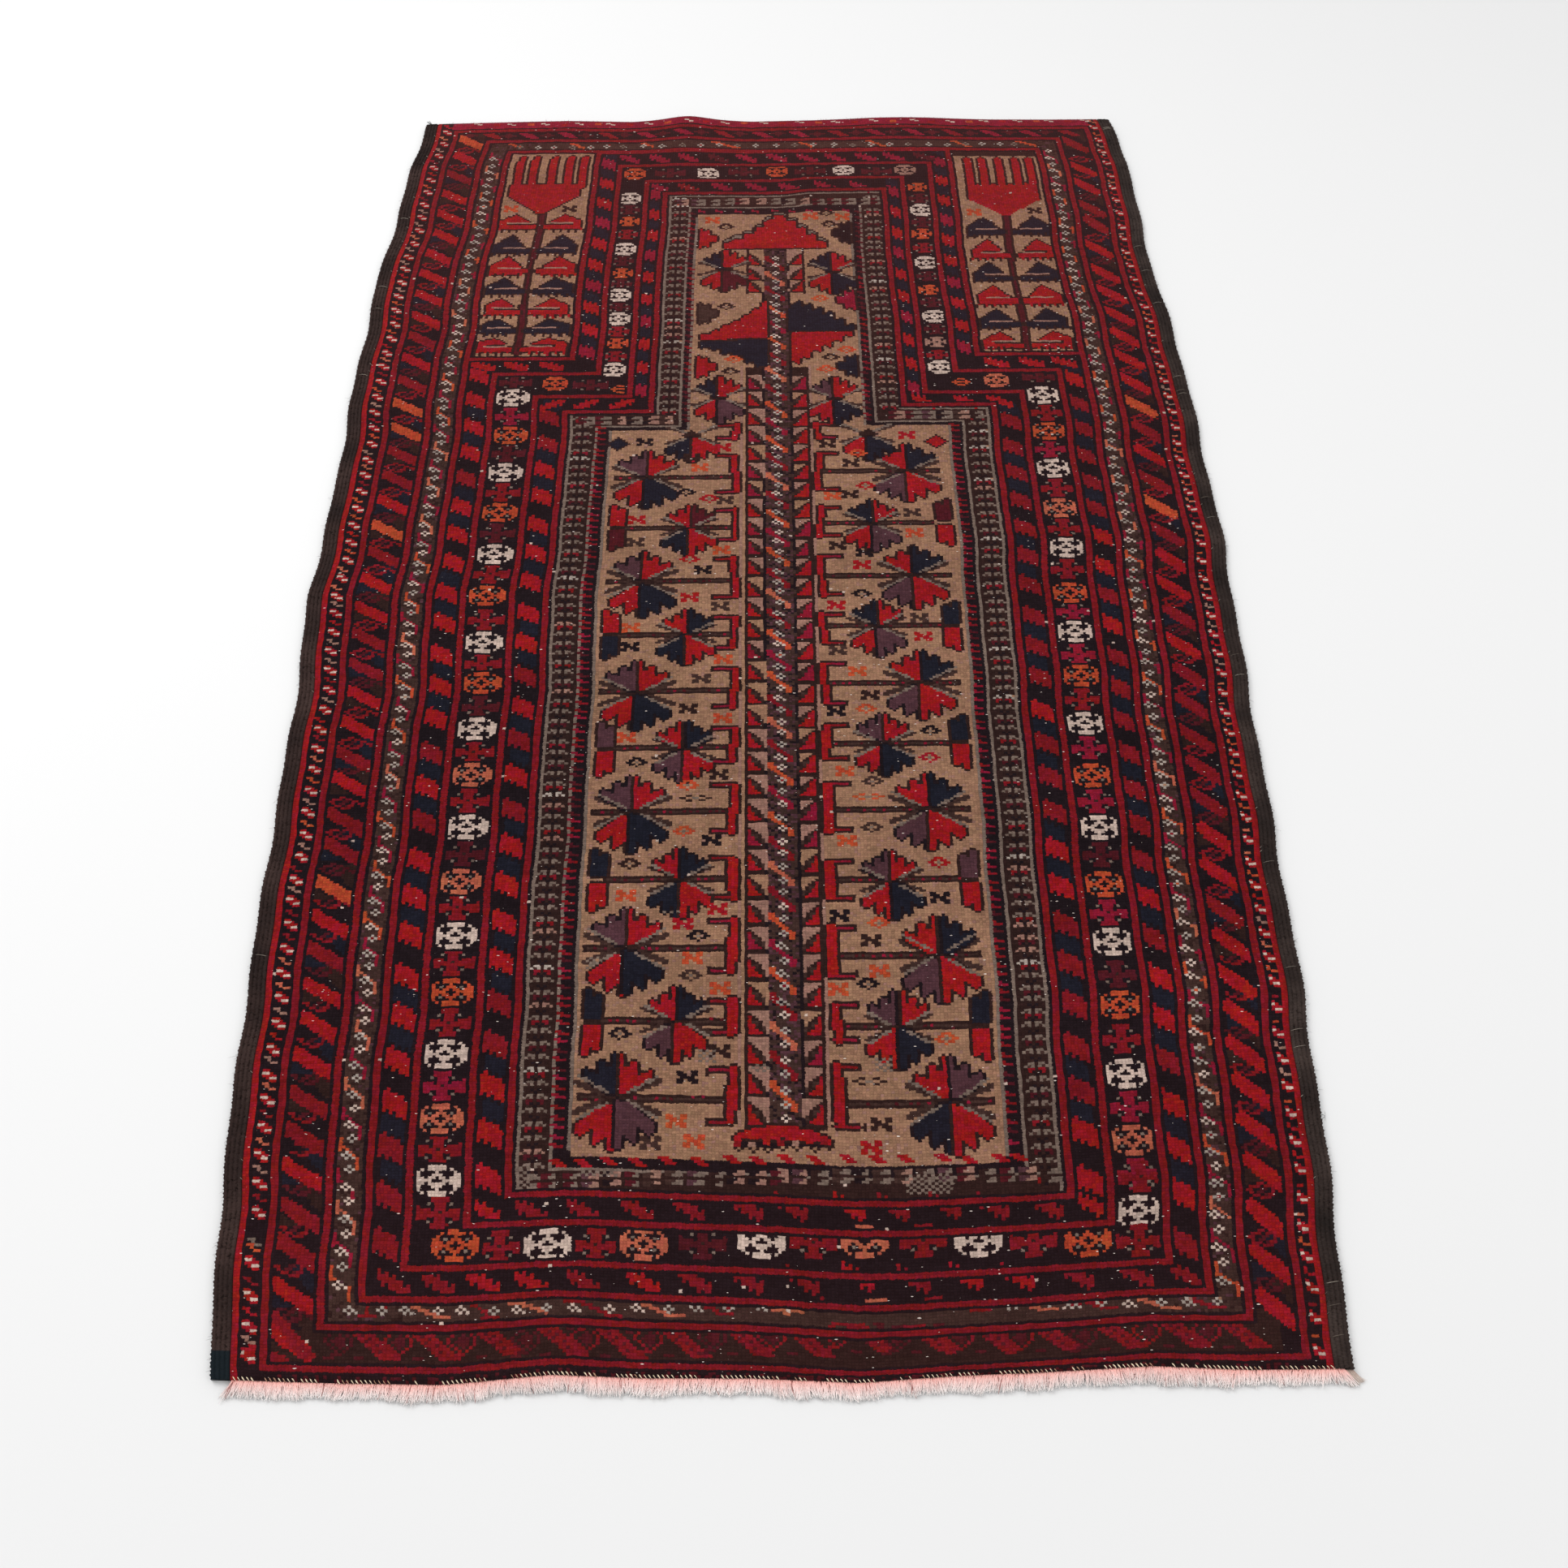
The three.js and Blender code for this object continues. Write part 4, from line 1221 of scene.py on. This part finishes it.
selvedgeLeft = selvedgePiece("wrapped_selvedge_left", -1, wrappedHair(
    "wrapped_goat_hair", ("#1b1211", "#2d1f1c", "#43322e"), selvedge["boundEnd"]))
selvedgeRight = selvedgePiece("wrapped_selvedge_right", 1, wrappedHair(
    "wrapped_goat_hair_grey", ("#17110f", "#2a201d", "#453934"), -1.0))
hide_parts("selvedge_left")
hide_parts("selvedge_right")
print("rug: selvedges made,", len(selvedgeLeft.data.polygons), "faces each")


def strandMesh(name, root, bend, tip, width, material, stations=4):
    # three-sided yarns: a point at share s lies at (1-s)^2 root + 2s(1-s) bend + s^2 tip, and the
    # yarn narrows to a third of its width before it ends in a point
    share = np.linspace(0, 0.92, stations)[None, :, None]
    root, bend, tip = (np.asarray(part, float)[:, None, :] for part in (root, bend, tip))
    centre = (1 - share) ** 2 * root + 2 * share * (1 - share) * bend + share ** 2 * tip
    heading = 2 * (1 - share) * (bend - root) + 2 * share * (tip - bend)
    heading = heading / np.maximum(np.linalg.norm(heading, axis=-1, keepdims=True), 1e-6)
    sideways = np.cross(heading, np.array((0.0, 0.0, 1.0)))
    sideways = sideways / np.maximum(np.linalg.norm(sideways, axis=-1, keepdims=True), 1e-6)
    upwards = np.cross(sideways, heading)
    radius = np.asarray(width, float).reshape(-1, 1, 1) / 2 * (1 - 0.6 * share)
    corners = [centre + radius * (math.cos(turn) * sideways + math.sin(turn) * upwards)
               for turn in (math.pi / 2, math.pi * 7 / 6, math.pi * 11 / 6)]
    count = len(root)
    body = np.stack(corners, 2).reshape(count, stations * 3, 3)
    points = np.concatenate([body, tip], 1)
    faces = [(0, 1, 2)]
    for ring in range(stations - 1):
        for corner in range(3):
            low, other = ring * 3 + corner, ring * 3 + (corner + 1) % 3
            faces += [(low, low + 3, other), (other, low + 3, other + 3)]
    last = (stations - 1) * 3
    faces += [(last + corner, stations * 3, last + (corner + 1) % 3) for corner in range(3)]
    each = points.shape[1]
    allFaces = (np.array(faces)[None] + np.arange(count)[:, None, None] * each).reshape(-1, 3)
    piece = meshPiece(name, points.reshape(-1, 3), allFaces, [material])
    shares = np.concatenate([np.repeat(share.ravel(), 3), [1.0]])
    fate = dice.random(count)
    yarnUv = np.stack(np.broadcast_arrays(shares[None, :], fate[:, None]), -1).reshape(-1, 2)
    addMap(piece, "yarn", yarnUv[allFaces])
    return piece


def yarnMaterial(name, rootColour, tipColour, darkColour, darkShare):
    # Spun yarn end: matt fibre that fades from its dyed root to a pale tip; the map holds the
    # share along the yarn and the yarn's own number, and a small share of the yarns is darker.
    material, add = newMaterial(name)
    share, number, _ = add("SeparateXYZ", [add("UVMap", uv_map="yarn")]).node.outputs
    fade = add("Mix", {"Factor": share, "A": linear(rootColour), "B": linear(tipColour)}, "Result",
               data_type="RGBA")
    few = add("Math", [number, darkShare], operation="LESS_THAN")
    few = add("Math", [few, 0.8], operation="MULTIPLY")
    mixed = add("Mix", {"Factor": few, "A": fade, "B": linear(darkColour)}, "Result",
                data_type="RGBA")
    value = add("TexWhiteNoise", {"W": number}, noise_dimensions="1D")
    value = add("Math", [value, 0.3, 0.85], operation="MULTIPLY_ADD")
    varied = add("HueSaturation", {"Color": mixed, "Value": value})
    shader = add("BsdfPrincipled", {"Base Color": varied, "Roughness": 0.85,
                                    "Specular IOR Level": 0.1})
    add("OutputMaterial", {"Surface": shader})
    return material


fringeShape = {
    "yarns": 5400,
    "length": 11.8,
    "width": 1.25,
}


def fringeArrays():
    # bunches of yarn that lean one way and then the other, the last ones out past the corners
    count = fringeShape["yarns"]
    left, right = innerEdge(0.0, -1), innerEdge(0.0, 1)
    x = np.linspace(left + 1, right + 7, count) + dice.normal(0, 0.25, count)
    lean = (waveAt([(2.0, 232, 0.5), (1.6, 61, 1.4), (1.1, 23, 0.2)], x)
            + dice.normal(0, 2.6, count))
    lean = lean - 9 * np.exp(-((x - left) / 9) ** 2) + 7 * np.exp(-((x - right - 4) / 9) ** 2)
    length = (fringeShape["length"] + waveAt([(0.9, 140, 0.4), (0.8, 47, 0.5), (0.7, 17, 2.0)], x)
              + dice.normal(0, 1.1, count))
    rootY = wovenY(x, 0.0) + 0.6
    lifted = rippleLift(x, 0.0)
    root = np.stack([x, rootY, 2.6 + dice.random(count) * 1.6 + lifted], -1)
    tip = np.stack([x + lean, rootY - length, 0.8 + dice.random(count) * 1.8], -1)
    curl = dice.normal(0, 1.6, count)
    bend = np.stack([x + lean * 0.25 + curl, rootY - length * 0.42,
                     3.2 + dice.random(count) * 2.4 + lifted], -1)
    width = fringeShape["width"] * dice.uniform(0.7, 1.25, count)
    return root, bend, tip, width


fringe = strandMesh("warp_fringe", *fringeArrays(), yarnMaterial(
    "cut_warp_yarn", "#f3aea3", "#fffdfb", "#a0605a", 0.02))
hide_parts("near_fringe")


def stitchArrays():
    # whipping stitches of cream yarn over the near edge, in runs with bare stretches between
    x = np.arange(innerEdge(0.0, -1) + 3, innerEdge(0.0, 1), 3.4)
    worn = waveAt([(1.0, 71, 0.3), (0.8, 26, 1.1)], x) + dice.normal(0, 0.4, len(x))
    x = x[worn < 0.55]
    y = wovenY(x, 0.0)
    lifted = rippleLift(x, 0.0)
    count = len(x)
    root = np.stack([x - 1.2, y + 2.2, 5.2 + lifted], -1)
    bend = np.stack([x, y + 0.9 + dice.normal(0, 0.3, count), 7.2 + lifted], -1)
    tip = np.stack([x + 1.2, y - 0.6, 4.4 + lifted], -1)
    return root, bend, tip, dice.uniform(1.0, 1.7, count)


stitches = strandMesh("edge_stitches", *stitchArrays(), yarnMaterial(
    "cream_cotton_stitch", "#e8d6b4", "#efdcc4", "#9a6a52", 0.2))


hairShape = {
    "bindingLeft": 22,        # threads that cross a selvedge
    "bindingRight": 44,
    "stray": 1500,            # short hairs along the edges
    "matted": 7600,           # hairs that lie on the selvedges
}


def eitherEdge(along, side):
    return np.where(side < 0, outerEdge(along, -1), outerEdge(along, 1))


def bindingArrays():
    # pale threads that cross the selvedge here and there, and small stitches beside the pile
    side = np.repeat([-1, 1], [hairShape["bindingLeft"], hairShape["bindingRight"]])
    along = dice.uniform(20, 1470, len(side))
    whole = dice.random(len(side)) < 0.35
    width = cloth["selvedgeWidth"]
    start = np.where(whole, width - 0.5, width + 0.6)
    end = np.where(whole, 3.0, width - 2.0)
    outer = eitherEdge(along, side)

    def at(inwards, shiftAlong, z):
        x = outer - side * inwards
        return np.stack([x, wovenY(x, along + shiftAlong), z + 0 * x], -1)

    peak = np.where(whole, 8.0, 7.4)
    bend = at((start + end) / 2, 1.0, peak)
    return at(start, 0.0, 4.6), bend, at(end, 2.0, 4.4), dice.uniform(0.5, 0.9, len(side))


binding = strandMesh("binding_threads", *bindingArrays(), yarnMaterial(
    "grey_binding_thread", "#8d8378", "#a79c90", "#5c5048", 0.3))


def hairArrays():
    # short stray hairs along both selvedges and a fuzz of red hairs on the far edge
    count = hairShape["stray"]
    side = np.where(dice.random(count) < 0.5, -1, 1)
    along = dice.uniform(0, cloth["length"], count)
    outer = eitherEdge(along, side)
    reach = dice.gamma(2.0, 0.8, count)
    slope = dice.normal(0, 1.4, count)
    rootSide = np.stack([outer - side * 1.0, wovenY(outer, along), 1 + dice.random(count) * 3], -1)
    tipSide = np.stack([outer + side * reach, wovenY(outer, along) + slope,
                        0.3 + dice.random(count) * 2], -1)
    end = cloth["length"]
    farX = dice.uniform(innerEdge(end, -1) + 1, innerEdge(end, 1) - 1, count)
    farY = wovenY(farX, end)
    lifted = rippleLift(farX, end)
    rootFar = np.stack([farX, farY - 1, 3.5 + lifted + dice.random(count)], -1)
    tipFar = np.stack([farX + dice.normal(0, 1.5, count), farY + dice.gamma(2.0, 0.9, count),
                       1.5 + lifted + dice.random(count) * 2.5], -1)
    return [(root, (root + tip) / 2 + (0, 0.4, 0.6), tip, np.full(count, width))
            for root, tip, width in [(rootSide, tipSide, 0.22), (rootFar, tipFar, 0.3)]]


def matArrays():
    # matted hair that lies over the selvedges and hides their cords, thinner on the right
    count = hairShape["matted"]
    side = np.where(dice.random(count) < 0.72, -1, 1)
    along = dice.uniform(24, cloth["length"] - 1, count)
    inwards = dice.uniform(0.5, 14.5, count)
    turn = dice.uniform(-1.2, 1.2, count)
    long = dice.uniform(2.0, 5.0, count)
    edge = eitherEdge(along, side)
    x = edge - side * inwards
    y = wovenY(x, along)
    z = 4.1 + dice.random(count) * 0.9 - 2.2 * (inwards < 1.5)
    reach = long * np.cos(turn) * np.where(dice.random(count) < 0.5, -1, 1)
    tipInwards = np.clip(inwards - side * reach, -1.5, 15)
    root = np.stack([x, y, z], -1)
    tip = np.stack([edge - side * tipInwards, y + long * np.sin(turn),
                    z - 0.2 - 1.5 * (tipInwards < 1)], -1)
    return root, (root + tip) / 2 + (0, 0, 1.0), tip, dice.uniform(0.25, 0.5, count)


matted = strandMesh("selvedge_matted_hair", *matArrays(), yarnMaterial(
    "matted_goat_hair", "#281c19", "#3d2e29", "#140f0d", 0.4), 3)
sideHair, farHair = hairArrays()
sideHairs = strandMesh("selvedge_hairs", *sideHair, yarnMaterial(
    "stray_goat_hair", "#3a2c28", "#5a4a44", "#17110f", 0.4), 3)
farHairs = strandMesh("far_edge_fuzz", *farHair, yarnMaterial(
    "red_wool_fuzz", "#7c1b38", "#a04a5c", "#4a1020", 0.3), 3)


def looseArrays():
    # the loose yarn at the far left corner, the tuft at the near right one and two hair loops
    far, near, loop = outerEdge(cloth["length"], -1), outerEdge(0.0, 1), outerEdge(196.0, 1)
    yarn = [((far + 7.5, 1481, 1.8), (far + 2, 1489, 3.5), (far - 1, 1491, 1.0), 1.8),
            ((far + 7, 1480, 1.8), (far + 5, 1488, 3.2), (far + 1, 1494, 0.8), 1.2),
            ((loop - 1, 196, 3), (loop + 4, 199, 4), (loop + 3, 192, 1.0), 0.5),
            ((loop - 1, 193, 3), (loop + 5, 195, 3), (loop + 4, 201, 0.8), 0.4)]
    tuft = [((near - 9 + 8 * share, 0.5, 3.0), (near - 6 + 9 * share, -6, 4.0),
             (near - 4 + 12 * share + shift, -12 + 5 * share, 0.8), 0.6)
            for share, shift in zip(dice.random(90), dice.normal(0, 1.5, 90))]
    return [[np.array(part) for part in zip(*strands)] for strands in (yarn, tuft)]


looseYarn, tuftYarn = looseArrays()
looseEnds = strandMesh("loose_yarn_end", *looseYarn, yarnMaterial(
    "dark_loose_yarn", "#2c322c", "#39403a", "#1a1d1a", 0.3), 6)
cornerTuft = strandMesh("corner_tuft", *tuftYarn, yarnMaterial(
    "pale_corner_yarn", "#bfa79b", "#eadcd2", "#6b5a50", 0.15))

# Camera, light and floor
view = {
    "lens": 34.66,
    "place": (0.0015, -0.9334, 1.1965),
    "tilt": 31.01,
    "turn": -0.0111,
}
studio = {
    "floorColour": "#e3e3e3",
    "floorHalf": 6,
    "floorLevel": -0.0004,
    "sky": 0.75,
    "lamps": [("window", (-1.6, 0.8, 2.4), 1.8, 46), ("fill", (1.8, -0.6, 2.2), 2.2, 15)],
}
cameraData = bpy.data.cameras.new("camera")
cameraData.lens = view["lens"]
cameraData.sensor_width = 36
cameraData.clip_end = 50
camera = bpy.data.objects.new("camera", cameraData)
camera.location = view["place"]
camera.rotation_euler = (math.radians(view["tilt"]), 0, view["turn"])
bpy.context.scene.collection.objects.link(camera)
bpy.context.scene.camera = camera

half = studio["floorHalf"]
floorMesh = bpy.data.meshes.new("floor")
floorMesh.from_pydata([(x, y, studio["floorLevel"]) for x, y in [
    (-half, -half), (half, -half), (half, half), (-half, half)]], [], [(0, 1, 2, 3)])
floor = bpy.data.objects.new("floor", floorMesh)
bpy.context.scene.collection.objects.link(floor)
floorMaterial, add = newMaterial("pale_floor")
paint = add("BsdfPrincipled", {"Base Color": linear(studio["floorColour"]), "Roughness": 0.9})
add("OutputMaterial", {"Surface": paint})
floorMesh.materials.append(floorMaterial)

world = bpy.data.worlds.new("studio")
world.use_nodes = True
background = world.node_tree.nodes["Background"]
background.inputs["Color"].default_value = (1, 1, 1, 1)
background.inputs["Strength"].default_value = studio["sky"]
bpy.context.scene.world = world
# Each lamp looks at the middle of the rug
for name, place, size, power in studio["lamps"]:
    lampData = bpy.data.lights.new(name, "AREA")
    lampData.size = size
    lampData.energy = power
    lamp = bpy.data.objects.new(name, lampData)
    lamp.location = place
    lamp.rotation_euler = (math.atan2(math.hypot(place[0], place[1]), place[2]), 0,
                           math.atan2(-place[1], -place[0]) - math.pi / 2)
    bpy.context.scene.collection.objects.link(lamp)
bpy.context.scene.view_settings.view_transform = "Standard"
print("rug: camera, light and floor placed")
